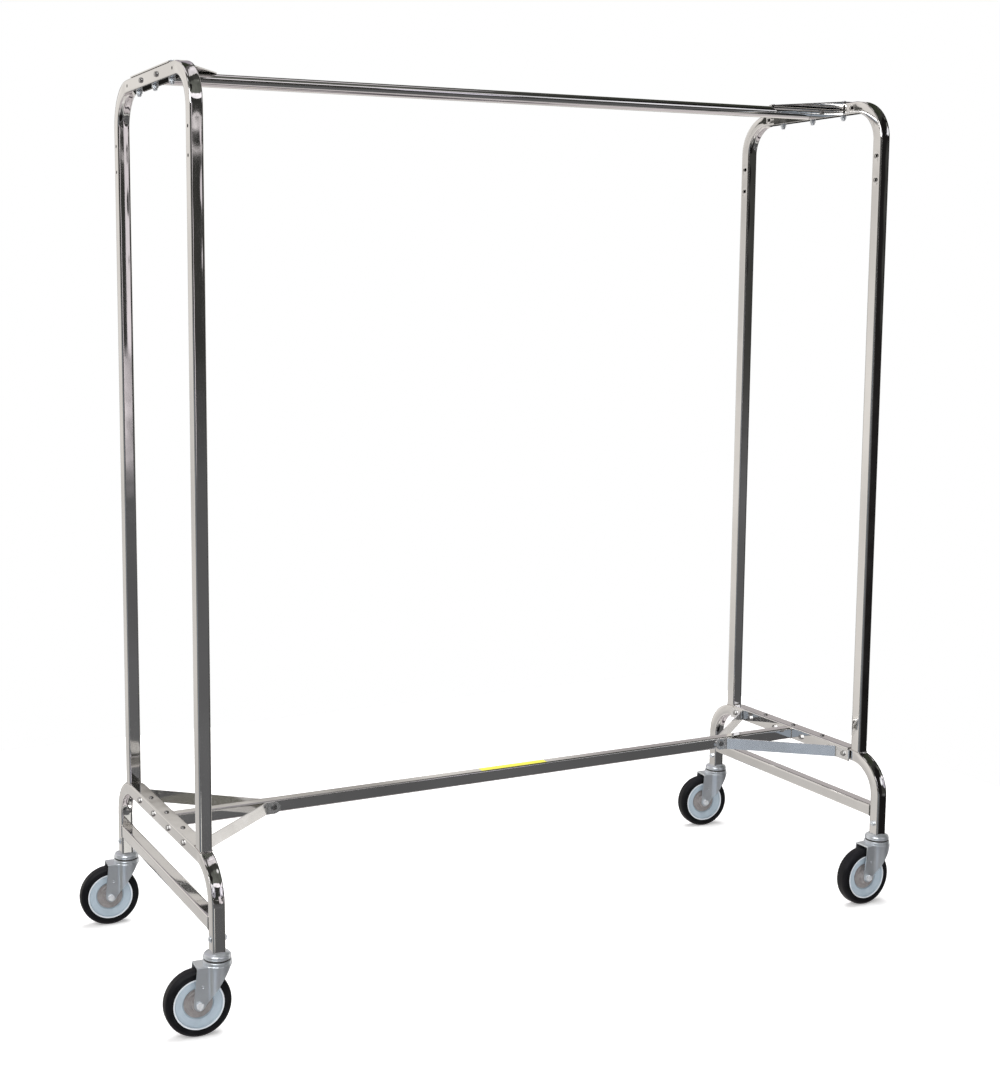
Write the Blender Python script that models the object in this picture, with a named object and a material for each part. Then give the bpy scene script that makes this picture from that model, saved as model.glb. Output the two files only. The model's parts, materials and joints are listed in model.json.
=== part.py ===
"""Rolling clothes rack, in metres, +Z up.

Two end frames of bent square tube are joined by a round hang rail and a braced base crossbar,
and stand on four swivel casters. Left is -X, front is -Y, and the origin is on the floor under
the middle of the object's box. Each end frame is modelled in its own frame, whose +X points
inwards along the rack and whose origin is on the floor under the middle of the end frame.
Each caster is modelled in its swivel's frame, on the kingpin axis, with its wheel towards -X.
"""

import math

import bmesh
import bpy
from mathutils import Matrix, Vector

MM = 0.001

# Driving dimensions: the frame
GAP = 0.3 * MM
TUBE = 25.4 * MM
TUBE_WALL = 1.6 * MM
TUBE_CORNER = 3.0 * MM
BEND_RADIUS = 75.0 * MM
END_SPACING = 1554.0 * MM
UPRIGHT_SPACING = 449.0 * MM
LEG_SPACING = 584.0 * MM
LEG_BOTTOM = 154.5 * MM
BASE_TOP = 326.5 * MM
FRAME_TOP = 1764.0 * MM
LOWER_RAIL_HEIGHT = 204.5 * MM
PLATE = 2.5 * MM

# Driving dimensions: the casters
WHEEL_RADIUS = 63.5 * MM
TYRE_WIDTH = 28.0 * MM
CORE_RADIUS = 48.0 * MM
TRAIL = 38.6 * MM
RACE_RADIUS = 28.0 * MM
CUP_RADIUS = 26.0 * MM
CASTER_YAW = {
    "front_left": -4.3,
    "rear_left": -4.2,
    "front_right": 0.4,
    "rear_right": -6.6,
}

# Drilling pattern, the same in the top bar and in the base bow, from the middle outwards
VERTICAL_HOLES = (-102.0 * MM, 0.0, 102.0 * MM)
BRACKET_HOLES = (-48.0 * MM, 48.0 * MM)
OUTER_HOLES = (-141.0 * MM, 141.0 * MM)
UPRIGHT_HOLES = (1591.0 * MM, 1642.0 * MM)
SMALL_BOLT = 3.0 * MM
CLEARANCE_HOLE = SMALL_BOLT + GAP
STEM_BOLT_HEIGHT = 179.0 * MM
BRACE_BOLT_Y = 195.0 * MM
BRACE_BOLT_X = 222.0 * MM

# Derived positions
HALF_TUBE = TUBE / 2
LEG_Y = LEG_SPACING / 2
UPRIGHT_Y = UPRIGHT_SPACING / 2
TOP_BAR_HEIGHT = FRAME_TOP - HALF_TUBE
BASE_BAR_HEIGHT = BASE_TOP - HALF_TUBE
INNER_FACE = HALF_TUBE + GAP
PLATE_FACE = INNER_FACE + PLATE
BAR_END = PLATE_FACE + GAP
CENTRE_SHIFT = (TRAIL + WHEEL_RADIUS - RACE_RADIUS) / 2

# Facets
BEND_SEGMENTS = 8
CORNER_SEGMENTS = 2
HOLE_SIDES = 10
PIN_SIDES = 12
RACE_SIDES = 16
TURNED_SIDES = 24
MERGE_DISTANCE = 0.00001
SMOOTH_ANGLE = math.radians(35)


# ---- Mesh tools ----


def finish_mesh(bm, name):
    """Turn a closed bmesh into a mesh with its faces pointing out."""
    bmesh.ops.recalc_face_normals(bm, faces=bm.faces)
    mesh = bpy.data.meshes.new(name)
    bm.to_mesh(mesh)
    bm.free()
    return mesh


def loft(rings, name):
    """Skin a row of equal closed rings and cap both ends."""
    bm = bmesh.new()
    rows = [[bm.verts.new(point) for point in ring] for ring in rings]
    for low, high in zip(rows, rows[1:]):
        for i in range(len(low)):
            bm.faces.new((low[i - 1], low[i], high[i], high[i - 1]))
    bm.faces.new(rows[0])
    bm.faces.new(rows[-1])
    return finish_mesh(bm, name)


def flat_prism(outline, low, high, name):
    """Extrude an outline in X and Y from one height to another."""
    return loft([[(x, y, height) for x, y in outline] for height in (low, high)], name)


def side_prism(outline, low, high, name):
    """Extrude an outline in X and Z from one Y to another."""
    return loft([[(x, y, z) for x, z in outline] for y in (low, high)], name)


def turned(profile, sides, name):
    """Spin an outline of (radius, height) points about Z."""
    bm = bmesh.new()
    verts = [bm.verts.new((radius, 0, height)) for radius, height in profile]
    edges = []
    for i, vert in enumerate(verts):
        on_axis = profile[i - 1][0] == 0 and profile[i][0] == 0
        if not on_axis:
            edges.append(bm.edges.new((verts[i - 1], vert)))
    turn = 2 * math.pi
    bmesh.ops.spin(
        bm, geom=verts + edges, axis=(0, 0, 1), cent=(0, 0, 0), angle=turn, steps=sides
    )
    bmesh.ops.remove_doubles(bm, verts=bm.verts, dist=MERGE_DISTANCE)
    return finish_mesh(bm, name)


LAY_DOWN = {
    "X": Matrix.Rotation(math.pi / 2, 4, "Y"),
    "Y": Matrix.Rotation(-math.pi / 2, 4, "X"),
    "Z": Matrix.Identity(4),
}


def rod(centre, axis, radius, length, sides=HOLE_SIDES):
    """A solid round or polygonal rod, centred on a point, along X, Y or Z."""
    matrix = Matrix.Translation(centre) @ LAY_DOWN[axis]
    bm = bmesh.new()
    bmesh.ops.create_cone(
        bm, cap_ends=True, segments=sides, radius1=radius, radius2=radius, depth=length, matrix=matrix
    )
    return finish_mesh(bm, "rod")


def hexagon(centre, axis, across_flats, length):
    """A hexagonal prism for a bolt head or a nut."""
    return rod(centre, axis, across_flats / math.sqrt(3), length, 6)


def combine(base, tools, operation):
    """Cut, join or intersect a mesh with others by exact Booleans."""
    body = bpy.data.objects.new("body", base)
    bpy.context.collection.objects.link(body)
    helpers = []
    for tool in tools:
        helper = bpy.data.objects.new("helper", tool)
        bpy.context.collection.objects.link(helper)
        helpers.append(helper)
        modifier = body.modifiers.new("combine", "BOOLEAN")
        modifier.operation = operation
        modifier.solver = "EXACT"
        modifier.object = helper
    depsgraph = bpy.context.evaluated_depsgraph_get()
    mesh = bpy.data.meshes.new_from_object(body.evaluated_get(depsgraph))
    mesh.name = base.name
    for scratch in [body] + helpers:
        bpy.data.objects.remove(scratch)
    return mesh


def cut(base, tools):
    return combine(base, tools, "DIFFERENCE")


def join(base, tools):
    return combine(base, tools, "UNION")


def rotated(mesh, axis):
    """Lay a mesh turned about Z down along X or Y."""
    mesh.transform(LAY_DOWN[axis])
    return mesh


# ---- Outlines and paths ----


def rounded_square(side, corner, segments):
    """Points of a square with round corners, about its centre."""
    reach = side / 2 - corner
    points = []
    for quarter in range(4):
        start = quarter * math.pi / 2
        centre = Vector((reach, reach))
        centre.rotate(Matrix.Rotation(start, 2))
        for step in range(segments + 1):
            angle = start + step * math.pi / 2 / segments
            offset = Vector((math.cos(angle), math.sin(angle))) * corner
            points.append(tuple(centre + offset))
    return points


def square(side):
    half = side / 2
    return [(half, half), (-half, half), (-half, -half), (half, -half)]


def bow_stations(half_width, bar_height, bottom):
    """Points (y, z) and outward normals along an inverted U in the YZ plane."""
    stations = [(-half_width, bottom, math.pi)]
    for side in (-1, 1):
        centre_y = side * (half_width - BEND_RADIUS)
        centre_z = bar_height - BEND_RADIUS
        for step in range(BEND_SEGMENTS + 1):
            swept = step / BEND_SEGMENTS * math.pi / 2
            angle = math.pi - swept if side < 0 else math.pi / 2 - swept
            y = centre_y + BEND_RADIUS * math.cos(angle)
            z = centre_z + BEND_RADIUS * math.sin(angle)
            stations.append((y, z, angle))
    stations.append((half_width, bottom, 0))
    return stations


def bow_rings(section, stations):
    """Set a section across the path at each station, its second axis along the normal."""
    rings = []
    for y, z, angle in stations:
        ring = [(u, y + v * math.cos(angle), z + v * math.sin(angle)) for u, v in section]
        rings.append(ring)
    return rings


def bow(half_width, bar_height, bottom, name):
    """A square tube bent into an inverted U, open at both ends."""
    stations = bow_stations(half_width, bar_height, bottom)
    outer_section = rounded_square(TUBE, TUBE_CORNER, CORNER_SEGMENTS)
    outer = loft(bow_rings(outer_section, stations), name)
    first = stations[0]
    last = stations[-1]
    overrun = 5 * MM
    stations[0] = (first[0], first[1] - overrun, first[2])
    stations[-1] = (last[0], last[1] - overrun, last[2])
    bore = loft(bow_rings(square(TUBE - 2 * TUBE_WALL), stations), "bore")
    return cut(outer, [bore])


def straight_tube(low, high, axis, height, name):
    """A square tube along X or Y, open at both ends, centred at a height."""
    outer_section = rounded_square(TUBE, TUBE_CORNER, CORNER_SEGMENTS)
    overrun = 5 * MM

    def ring(section, at):
        if axis == "X":
            return [(at, u, height + v) for u, v in section]
        return [(u, at, height + v) for u, v in section]

    outer = loft([ring(outer_section, low), ring(outer_section, high)], name)
    hollow = square(TUBE - 2 * TUBE_WALL)
    bore = loft([ring(hollow, low - overrun), ring(hollow, high + overrun)], "bore")
    return cut(outer, [bore])


def tangent_angle(centre, radius, point, side):
    """The angle on a circle where the line from an outside point touches it."""
    offset = Vector(point) - Vector(centre)
    return math.atan2(offset.y, offset.x) + side * math.acos(radius / offset.length)


def arc(centre, radius, start, end, segments):
    """Points along an arc from one angle to another."""
    points = []
    for step in range(segments + 1):
        angle = start + (end - start) * step / segments
        offset = Vector((math.cos(angle), math.sin(angle))) * radius
        points.append(tuple(Vector(centre) + offset))
    return points


# ---- End frame ----


def upper_bow():
    """The two uprights and the top bar: one bent tube with its drilled holes."""
    mesh = bow(UPRIGHT_Y, TOP_BAR_HEIGHT, BASE_TOP + GAP, "upper_bow")
    through = 2 * TUBE
    holes = [rod((0, y, TOP_BAR_HEIGHT), "Z", CLEARANCE_HOLE, through) for y in VERTICAL_HOLES]
    for y in BRACKET_HOLES + OUTER_HOLES:
        holes.append(rod((0, y, TOP_BAR_HEIGHT), "X", CLEARANCE_HOLE, through))
    for y in (-UPRIGHT_Y, UPRIGHT_Y):
        for z in UPRIGHT_HOLES:
            holes.append(rod((0, y, z), "X", CLEARANCE_HOLE, through))
    return cut(mesh, holes)


def base_bow():
    """The low bow that the uprights stand on, with a leg for each caster."""
    mesh = bow(LEG_Y, BASE_BAR_HEIGHT, LEG_BOTTOM, "base_bow")
    through = 2 * TUBE
    holes = [rod((0, y, BASE_TOP), "Z", CLEARANCE_HOLE, TUBE) for y in VERTICAL_HOLES]
    for y in BRACKET_HOLES + OUTER_HOLES:
        holes.append(rod((0, y, BASE_BAR_HEIGHT), "X", CLEARANCE_HOLE, through))
    for y in (-LEG_Y, LEG_Y):
        holes.append(rod((0, y, STEM_BOLT_HEIGHT), "X", CLEARANCE_HOLE, through))
    return cut(mesh, holes)


def lower_rail():
    reach = LEG_Y - HALF_TUBE - GAP
    return straight_tube(-reach, reach, "Y", LOWER_RAIL_HEIGHT, "lower_rail")


def angle_plate(half_length, top, leg_depth, inner_points, name):
    """A bent plate over a bar: a top flange, here with any inner points, and an inner leg."""
    outer_edge = -HALF_TUBE + GAP
    outline = [(outer_edge, -half_length), (PLATE_FACE, -half_length)]
    outline += inner_points
    outline += [(PLATE_FACE, half_length), (outer_edge, half_length)]
    flange = flat_prism(outline, top, top + PLATE, name)
    leg_outline = [
        (INNER_FACE, -half_length),
        (PLATE_FACE, -half_length),
        (PLATE_FACE, half_length),
        (INNER_FACE, half_length),
    ]
    leg = flat_prism(leg_outline, top - leg_depth, top + PLATE / 2, "leg")
    return join(flange, [leg])


def rail_bracket():
    """The angle plate on the top bar, whose gusset reaches in over the hang rail."""
    half_length = 121 * MM
    apex = 122 * MM
    nose = 9 * MM
    rivet = 113 * MM
    rivet_hole = 2.4 * MM
    nose_points = arc((apex - nose, 0), nose, -math.pi / 3, math.pi / 3, 6)
    top = FRAME_TOP + GAP
    mesh = angle_plate(half_length, top, TUBE, nose_points, "rail_bracket")
    tools = [rod((0, y, top), "Z", CLEARANCE_HOLE, TUBE) for y in VERTICAL_HOLES]
    for y in BRACKET_HOLES:
        tools.append(rod((PLATE_FACE, y, TOP_BAR_HEIGHT), "X", CLEARANCE_HOLE, TUBE))
    tools.append(rod((rivet, 0, top), "Z", rivet_hole, TUBE))
    return cut(mesh, tools)


def base_angle():
    """The angle plate bolted over the base bow, which carries the crossbar and the braces."""
    half_length = 205 * MM
    top = BASE_TOP + GAP
    mesh = angle_plate(half_length, top, TUBE, [], "base_angle")
    tools = [rod((0, y, top), "Z", CLEARANCE_HOLE, TUBE) for y in VERTICAL_HOLES]
    for y in BRACKET_HOLES + OUTER_HOLES + (-BRACE_BOLT_Y, BRACE_BOLT_Y):
        tools.append(rod((PLATE_FACE, y, BASE_BAR_HEIGHT), "X", CLEARANCE_HOLE, 2 * PLATE + GAP))
    return cut(mesh, tools)


def filleted(points, radius, segments):
    """A 2-D path with an arc in place of each inner corner."""
    path = [Vector(points[0])]
    for before, corner, after in zip(points, points[1:], points[2:]):
        corner = Vector(corner)
        arriving = (corner - Vector(before)).normalized()
        leaving = (Vector(after) - corner).normalized()
        turn = arriving.angle_signed(leaving)
        setback = radius * math.tan(abs(turn) / 2)
        side = -1 if turn > 0 else 1
        start = corner - arriving * setback
        normal = Vector((-arriving.y, arriving.x)) * side
        centre = start + normal * radius
        for step in range(segments + 1):
            spoke = start - centre
            spoke.rotate(Matrix.Rotation(side * abs(turn) * step / segments, 2))
            path.append(centre + spoke)
    path.append(Vector(points[-1]))
    return path


def brace(side):
    """A flat bar on edge from the crossbar to the base angle, with a bent tab at each end."""
    thickness = 3 * MM
    half_height = 12.5 * MM
    height = BASE_BAR_HEIGHT - 1.5 * MM
    tab_end = 236 * MM
    tab_bend = 206 * MM
    angle_bend = 171 * MM
    angle_end = 212 * MM
    bend_radius = 7 * MM
    round_steps = 5
    on_crossbar = side * (HALF_TUBE + GAP + thickness / 2)
    on_angle = BAR_END + thickness / 2
    corners = [
        (tab_end, on_crossbar),
        (tab_bend, on_crossbar),
        (on_angle, side * angle_bend),
        (on_angle, side * angle_end),
    ]
    stations = []
    for step in range(1, round_steps + 1):
        angle = step / round_steps * math.pi / 2
        x = tab_end - half_height + half_height * math.cos(angle)
        stations.append((Vector((x, on_crossbar)), half_height * math.sin(angle)))
    path = filleted(corners, bend_radius, 4)
    stations += [(point, half_height) for point in path[1:]]
    bar = strip(stations, thickness, height)
    holes = [
        rod((BRACE_BOLT_X, on_crossbar, BASE_BAR_HEIGHT), "Y", CLEARANCE_HOLE, TUBE),
        rod((on_angle, side * BRACE_BOLT_Y, BASE_BAR_HEIGHT), "X", CLEARANCE_HOLE, TUBE),
    ]
    return cut(bar, holes)


def strip(stations, thickness, height):
    """A flat bar on edge through (point, half height) stations in the XY plane."""
    rings = []
    for i, (point, half_height) in enumerate(stations):
        before = stations[max(i - 1, 0)][0]
        after = stations[min(i + 1, len(stations) - 1)][0]
        along = (after - before).normalized()
        across = Vector((-along.y, along.x)) * thickness / 2
        left = point + across
        right = point - across
        ring = [
            (left.x, left.y, height - half_height),
            (right.x, right.y, height - half_height),
            (right.x, right.y, height + half_height),
            (left.x, left.y, height + half_height),
        ]
        rings.append(ring)
    return loft(rings, "brace")


def rail_bolt():
    """A pan-head bolt down through bracket and top bar, held by a domed cap nut below."""
    seat = FRAME_TOP + GAP + PLATE + GAP
    head_radius = 5.5 * MM
    head_height = 3.6 * MM
    nut_width = 11 * MM
    nut_height = 6 * MM
    dome_radius = 4.6 * MM
    dome_height = 5.5 * MM
    nut_top = FRAME_TOP - TUBE - GAP
    nut_bottom = nut_top - nut_height
    overlap = 1 * MM
    profile = [
        (0, seat + head_height),
        (head_radius * 0.6, seat + head_height),
        (head_radius, seat + head_height * 0.5),
        (head_radius, seat),
        (SMALL_BOLT, seat),
        (SMALL_BOLT, nut_bottom + overlap),
        (dome_radius, nut_bottom + overlap),
        (dome_radius, nut_bottom - dome_height * 0.4),
        (dome_radius * 0.6, nut_bottom - dome_height * 0.85),
        (0, nut_bottom - dome_height),
    ]
    bolt = turned(profile, HOLE_SIDES, "rail_bolt")
    nut_centre = (0, 0, (nut_top + nut_bottom) / 2)
    return join(bolt, [hexagon(nut_centre, "Z", nut_width, nut_height)])


def hang_rail():
    """The round tube that the hangers hook over, open at both ends."""
    length = END_SPACING - 2 * BAR_END
    bar = rod((0, 0, TOP_BAR_HEIGHT), "X", HALF_TUBE, length, TURNED_SIDES)
    bore_radius = HALF_TUBE - TUBE_WALL
    bore = rod((0, 0, TOP_BAR_HEIGHT), "X", bore_radius, length + TUBE, TURNED_SIDES)
    return cut(bar, [bore])


def base_crossbar():
    """The square tube between the base angles, drilled for the bolts of the braces."""
    reach = END_SPACING / 2 - BAR_END
    bar = straight_tube(-reach, reach, "X", BASE_BAR_HEIGHT, "base_crossbar")
    bolt_x = END_SPACING / 2 - BRACE_BOLT_X
    holes = [
        rod((x, 0, BASE_BAR_HEIGHT), "Y", CLEARANCE_HOLE, 2 * TUBE) for x in (-bolt_x, bolt_x)
    ]
    return cut(bar, holes)


# ---- Caster ----

CROWN_TOP = 135.0 * MM
CROWN_PLATE = 3.0 * MM
RACE_TOP = 141.5 * MM
CUP_BOTTOM = 143.5 * MM
CUP_TOP = LEG_BOTTOM - GAP
KINGPIN = 6.0 * MM
FORK_HALF_WIDTH = 19.0 * MM
FORK_PLATE = 2.2 * MM
AXLE = 4.0 * MM
SLEEVE = 6.3 * MM
RUNNING_GAP = 0.1 * MM
AXLE_NUT_WIDTH = 13.0 * MM


def stem():
    """The square plug in the leg, with the kingpin and its head below the fork's crown."""
    plug_side = TUBE - 2 * TUBE_WALL - 2 * GAP
    plug_top = 212 * MM
    corner = 1.2 * MM
    head_radius = 8 * MM
    head_top = CROWN_TOP - CROWN_PLATE - GAP
    head_bottom = 122.5 * MM
    overlap = 5 * MM
    plug = flat_prism(rounded_square(plug_side, corner, 1), LEG_BOTTOM, plug_top, "stem")
    profile = [
        (0, LEG_BOTTOM + overlap),
        (KINGPIN, LEG_BOTTOM + overlap),
        (KINGPIN, head_top),
        (head_radius, head_top),
        (head_radius, head_bottom + overlap / 2),
        (head_radius * 0.7, head_bottom),
        (0, head_bottom),
    ]
    pin = turned(profile, PIN_SIDES, "kingpin")
    bolt_hole = rod((0, 0, STEM_BOLT_HEIGHT), "X", CLEARANCE_HOLE, 2 * TUBE)
    return cut(join(plug, [pin]), [bolt_hole])


def race_cup():
    """The upper race ring, pressed against the bottom of the leg."""
    bore = KINGPIN + GAP
    profile = [
        (bore, CUP_TOP),
        (CUP_RADIUS * 0.72, CUP_TOP),
        (CUP_RADIUS * 0.92, CUP_TOP - 2.5 * MM),
        (CUP_RADIUS, CUP_TOP - 5.5 * MM),
        (CUP_RADIUS, CUP_BOTTOM),
        (bore, CUP_BOTTOM),
    ]
    return turned(profile, RACE_SIDES, "race_cup")


def fork_plan(half_width, race_radius, front):
    """The fork seen from above: flat cheeks running back into the round race."""
    cheek_end = math.acos(-math.sqrt(1 - (half_width / race_radius) ** 2))
    points = [(front, -half_width)]
    points += arc((0, 0), race_radius, -cheek_end, cheek_end, 12)
    points.append((front, half_width))
    return points


def fork_side():
    """The fork seen from the side: a crown that tapers down to a round end at the axle."""
    end_radius = 11 * MM
    axle = (-TRAIL, WHEEL_RADIUS)
    front_top = (-42.5 * MM, CROWN_TOP)
    rear_edge = (19.0 * MM, 130.0 * MM)
    above = CROWN_TOP + TUBE
    start = tangent_angle(axle, end_radius, front_top, 1)
    end = tangent_angle(axle, end_radius, rear_edge, -1)
    points = [(front_top[0], above), front_top]
    points += arc(axle, end_radius, start, end + 2 * math.pi, 8)
    points += [rear_edge, (RACE_RADIUS + GAP, CROWN_TOP), (RACE_RADIUS + GAP, above)]
    return points


def fork():
    """A stamped fork: crown, raised race, and two cheeks that carry the axle."""
    front = -60 * MM
    below = 40 * MM
    inner_half_width = FORK_HALF_WIDTH - FORK_PLATE
    inner_race = RACE_RADIUS - FORK_PLATE
    outer = fork_plan(FORK_HALF_WIDTH, RACE_RADIUS, front)
    inner = fork_plan(inner_half_width, inner_race, front - TUBE)
    shell = flat_prism(outer, below, CROWN_TOP, "fork")
    hollow = flat_prism(inner, below - TUBE, CROWN_TOP - CROWN_PLATE, "hollow")
    side = side_prism(fork_side(), -TUBE * 2, TUBE * 2, "side")
    body = combine(cut(shell, [hollow]), [side], "INTERSECT")
    bore = KINGPIN + 2 * GAP
    raised_radius = RACE_RADIUS - 1 * MM
    race_profile = [
        (bore / 2, CROWN_TOP - CROWN_PLATE / 2),
        (raised_radius, CROWN_TOP - CROWN_PLATE / 2),
        (raised_radius, RACE_TOP - 2 * MM),
        (raised_radius - 2 * MM, RACE_TOP),
        (bore / 2, RACE_TOP),
    ]
    race = turned(race_profile, RACE_SIDES, "race")
    kingpin_hole = rod((0, 0, CROWN_TOP), "Z", bore, TUBE, RACE_SIDES)
    axle_hole = rod((-TRAIL, 0, WHEEL_RADIUS), "Y", AXLE + GAP, 4 * TUBE)
    return cut(join(body, [race]), [kingpin_hole, axle_hole])


def mirrored_profile(half):
    """Close a turned outline by repeating its points on the other side of the middle."""
    return half + [(radius, -across) for radius, across in reversed(half)]


def tyre():
    """The solid rubber tread, on its axle along Y."""
    half_width = TYRE_WIDTH / 2
    half = [
        (CORE_RADIUS + GAP, half_width - GAP),
        (WHEEL_RADIUS - 4 * MM, half_width),
        (WHEEL_RADIUS, half_width - 6 * MM),
    ]
    return rotated(turned(mirrored_profile(half), TURNED_SIDES, "tyre"), "Y")


def wheel_core():
    """The moulded core: bored hub, thin web, sloping side and rim, on its axle along Y."""
    hub_radius = 12 * MM
    hub_half_length = 16 * MM
    web_radius = 27 * MM
    web_half_width = 6 * MM
    lip_radius = 45 * MM
    half_width = TYRE_WIDTH / 2
    half = [
        (SLEEVE + RUNNING_GAP, hub_half_length),
        (hub_radius, hub_half_length),
        (hub_radius + 1 * MM, web_half_width),
        (web_radius, web_half_width),
        (lip_radius, half_width),
        (CORE_RADIUS, half_width),
    ]
    return rotated(turned(mirrored_profile(half), TURNED_SIDES, "wheel_core"), "Y")


def axle_sleeve():
    """The bearing sleeve that the core turns on, clamped between the cheeks."""
    half_length = FORK_HALF_WIDTH - FORK_PLATE - GAP
    half = [(AXLE + GAP, half_length), (SLEEVE, half_length)]
    return rotated(turned(mirrored_profile(half), PIN_SIDES, "axle_sleeve"), "Y")


def axle_bolt():
    """The hexagon-head bolt through fork and sleeve, head to the front."""
    seat = FORK_HALF_WIDTH + GAP
    head_height = 4.8 * MM
    end = FORK_HALF_WIDTH + 8.5 * MM
    shank_length = seat + end + head_height / 2
    shank = rod((0, (end - seat - head_height / 2) / 2, 0), "Y", AXLE, shank_length)
    shank.name = "axle_bolt"
    head = hexagon((0, -seat - head_height / 2, 0), "Y", AXLE_NUT_WIDTH, head_height)
    return join(shank, [head])


def axle_nut():
    height = 6.0 * MM
    centre = (0, FORK_HALF_WIDTH + GAP + height / 2, 0)
    nut = hexagon(centre, "Y", AXLE_NUT_WIDTH, height)
    nut.name = "axle_nut"
    return cut(nut, [rod(centre, "Y", AXLE + GAP, TUBE)])


def stem_bolt():
    """The cross bolt with its nut that keeps the stem in the leg, head outwards at -X."""
    seat = HALF_TUBE + GAP
    head_radius = 5.5 * MM
    head_height = 3.2 * MM
    nut_width = 10 * MM
    nut_height = 4.5 * MM
    profile = [
        (0, -seat - head_height),
        (head_radius * 0.6, -seat - head_height),
        (head_radius, -seat - head_height * 0.4),
        (head_radius, -seat),
        (SMALL_BOLT, -seat),
        (SMALL_BOLT, seat + nut_height + 1.5 * MM),
        (0, seat + nut_height + 1.5 * MM),
    ]
    bolt = rotated(turned(profile, HOLE_SIDES, "stem_bolt"), "X")
    nut = hexagon((seat + nut_height / 2, 0, 0), "X", nut_width, nut_height)
    return join(bolt, [nut])


# ---- Materials ----


def material(name, colour, roughness, metallic):
    made = bpy.data.materials.new(name)
    made.use_nodes = True
    shader = made.node_tree.nodes["Principled BSDF"]
    shader.inputs["Base Color"].default_value = (*colour, 1)
    shader.inputs["Roughness"].default_value = roughness
    shader.inputs["Metallic"].default_value = metallic
    made.diffuse_color = (*colour, 1)
    return made


def make_materials():
    return {
        "chrome": material("chrome", (0.78, 0.77, 0.76), 0.06, 1.0),
        "zinc": material("zinc", (0.62, 0.65, 0.69), 0.32, 1.0),
        "steel": material("steel", (0.45, 0.45, 0.46), 0.35, 1.0),
        "rubber": material("rubber", (0.015, 0.016, 0.02), 0.55, 0.0),
        "core_plastic": material("core_plastic", (0.50, 0.60, 0.70), 0.4, 0.0),
    }


# ---- Assembly ----


def guide(name, parent, location=(0, 0, 0), turn=0.0):
    """An empty that places the pieces parented to it."""
    empty = bpy.data.objects.new(name, None)
    bpy.context.collection.objects.link(empty)
    empty.parent = parent
    empty.location = location
    empty.rotation_euler.z = turn
    return empty


def place(name, mesh, finish, parent, location=(0, 0, 0), turn=0.0):
    """Put one piece in the scene, with its own material slot."""
    piece = bpy.data.objects.new(name, mesh)
    bpy.context.collection.objects.link(piece)
    if not mesh.materials:
        mesh.materials.append(finish)
        mesh.shade_smooth()
        mesh.set_sharp_from_angle(angle=SMOOTH_ANGLE)
    piece.parent = parent
    piece.location = location
    piece.rotation_euler.z = turn
    return piece


def build_end_frames(rack, finishes):
    """The two end frames, the right one turned half round."""
    chrome = finishes["chrome"]
    pieces = {
        "upper_bow": upper_bow(),
        "base_bow": base_bow(),
        "lower_rail": lower_rail(),
        "rail_bracket": rail_bracket(),
        "base_angle": base_angle(),
    }
    braces = {-1: brace(-1), 1: brace(1)}
    bolt = rail_bolt()
    bolt_names = ("front", "middle", "rear")
    for end, x, turn in (("left", -1, 0.0), ("right", 1, math.pi)):
        frame = guide(end + "_end", rack, (x * END_SPACING / 2, 0, 0), turn)
        for name, mesh in pieces.items():
            place(f"{end}_{name}", mesh, chrome, frame)
        for side, where in ((-1, "front"), (1, "rear")):
            own_side = side if end == "left" else -side
            place(f"{end}_{where}_brace", braces[own_side], chrome, frame)
        for y, where in zip(VERTICAL_HOLES, bolt_names):
            own_y = y if end == "left" else -y
            place(f"{end}_{where}_rail_bolt", bolt, finishes["steel"], frame, (0, own_y, 0))


def build_casters(rack, finishes):
    """Four casters, each on a swivel guide that holds a wheel guide at the axle."""
    zinc = finishes["zinc"]
    steel = finishes["steel"]
    fixed = {"stem": (stem(), steel), "race_cup": (race_cup(), zinc)}
    turning = {"fork": (fork(), zinc)}
    on_axle = {
        "axle_sleeve": (axle_sleeve(), steel),
        "axle_bolt": (axle_bolt(), zinc),
        "axle_nut": (axle_nut(), zinc),
        "wheel_core": (wheel_core(), finishes["core_plastic"]),
        "tyre": (tyre(), finishes["rubber"]),
    }
    bolt = stem_bolt()
    for where, yaw in CASTER_YAW.items():
        front_or_rear, end = where.split("_")
        x = END_SPACING / 2 if end == "right" else -END_SPACING / 2
        y = -LEG_Y if front_or_rear == "front" else LEG_Y
        head_turn = math.pi if end == "right" else 0.0
        leg = guide(where + "_leg", rack, (x, y, 0))
        for name, (mesh, finish) in fixed.items():
            place(f"{where}_{name}", mesh, finish, leg)
        place(f"{where}_stem_bolt", bolt, zinc, leg, (0, 0, STEM_BOLT_HEIGHT), head_turn)
        swivel = guide(where + "_swivel", leg, turn=math.radians(yaw))
        for name, (mesh, finish) in turning.items():
            place(f"{where}_{name}", mesh, finish, swivel)
        axle = guide(where + "_axle", swivel, (-TRAIL, 0, WHEEL_RADIUS))
        for name, (mesh, finish) in on_axle.items():
            place(f"{where}_{name}", mesh, finish, axle)


def build_rack():
    for old in list(bpy.data.objects):
        bpy.data.objects.remove(old)
    finishes = make_materials()
    rack = guide("rack", None, (CENTRE_SHIFT, 0, 0))
    build_end_frames(rack, finishes)
    place("hang_rail", hang_rail(), finishes["chrome"], rack)
    place("base_crossbar", base_crossbar(), finishes["chrome"], rack)
    build_casters(rack, finishes)


build_rack()
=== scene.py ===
"""Looks of the rolling clothes rack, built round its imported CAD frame, in metres, +Z up."""

import json
import math
import random

import bmesh
import bpy
from mathutils import Matrix, Vector


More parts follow.
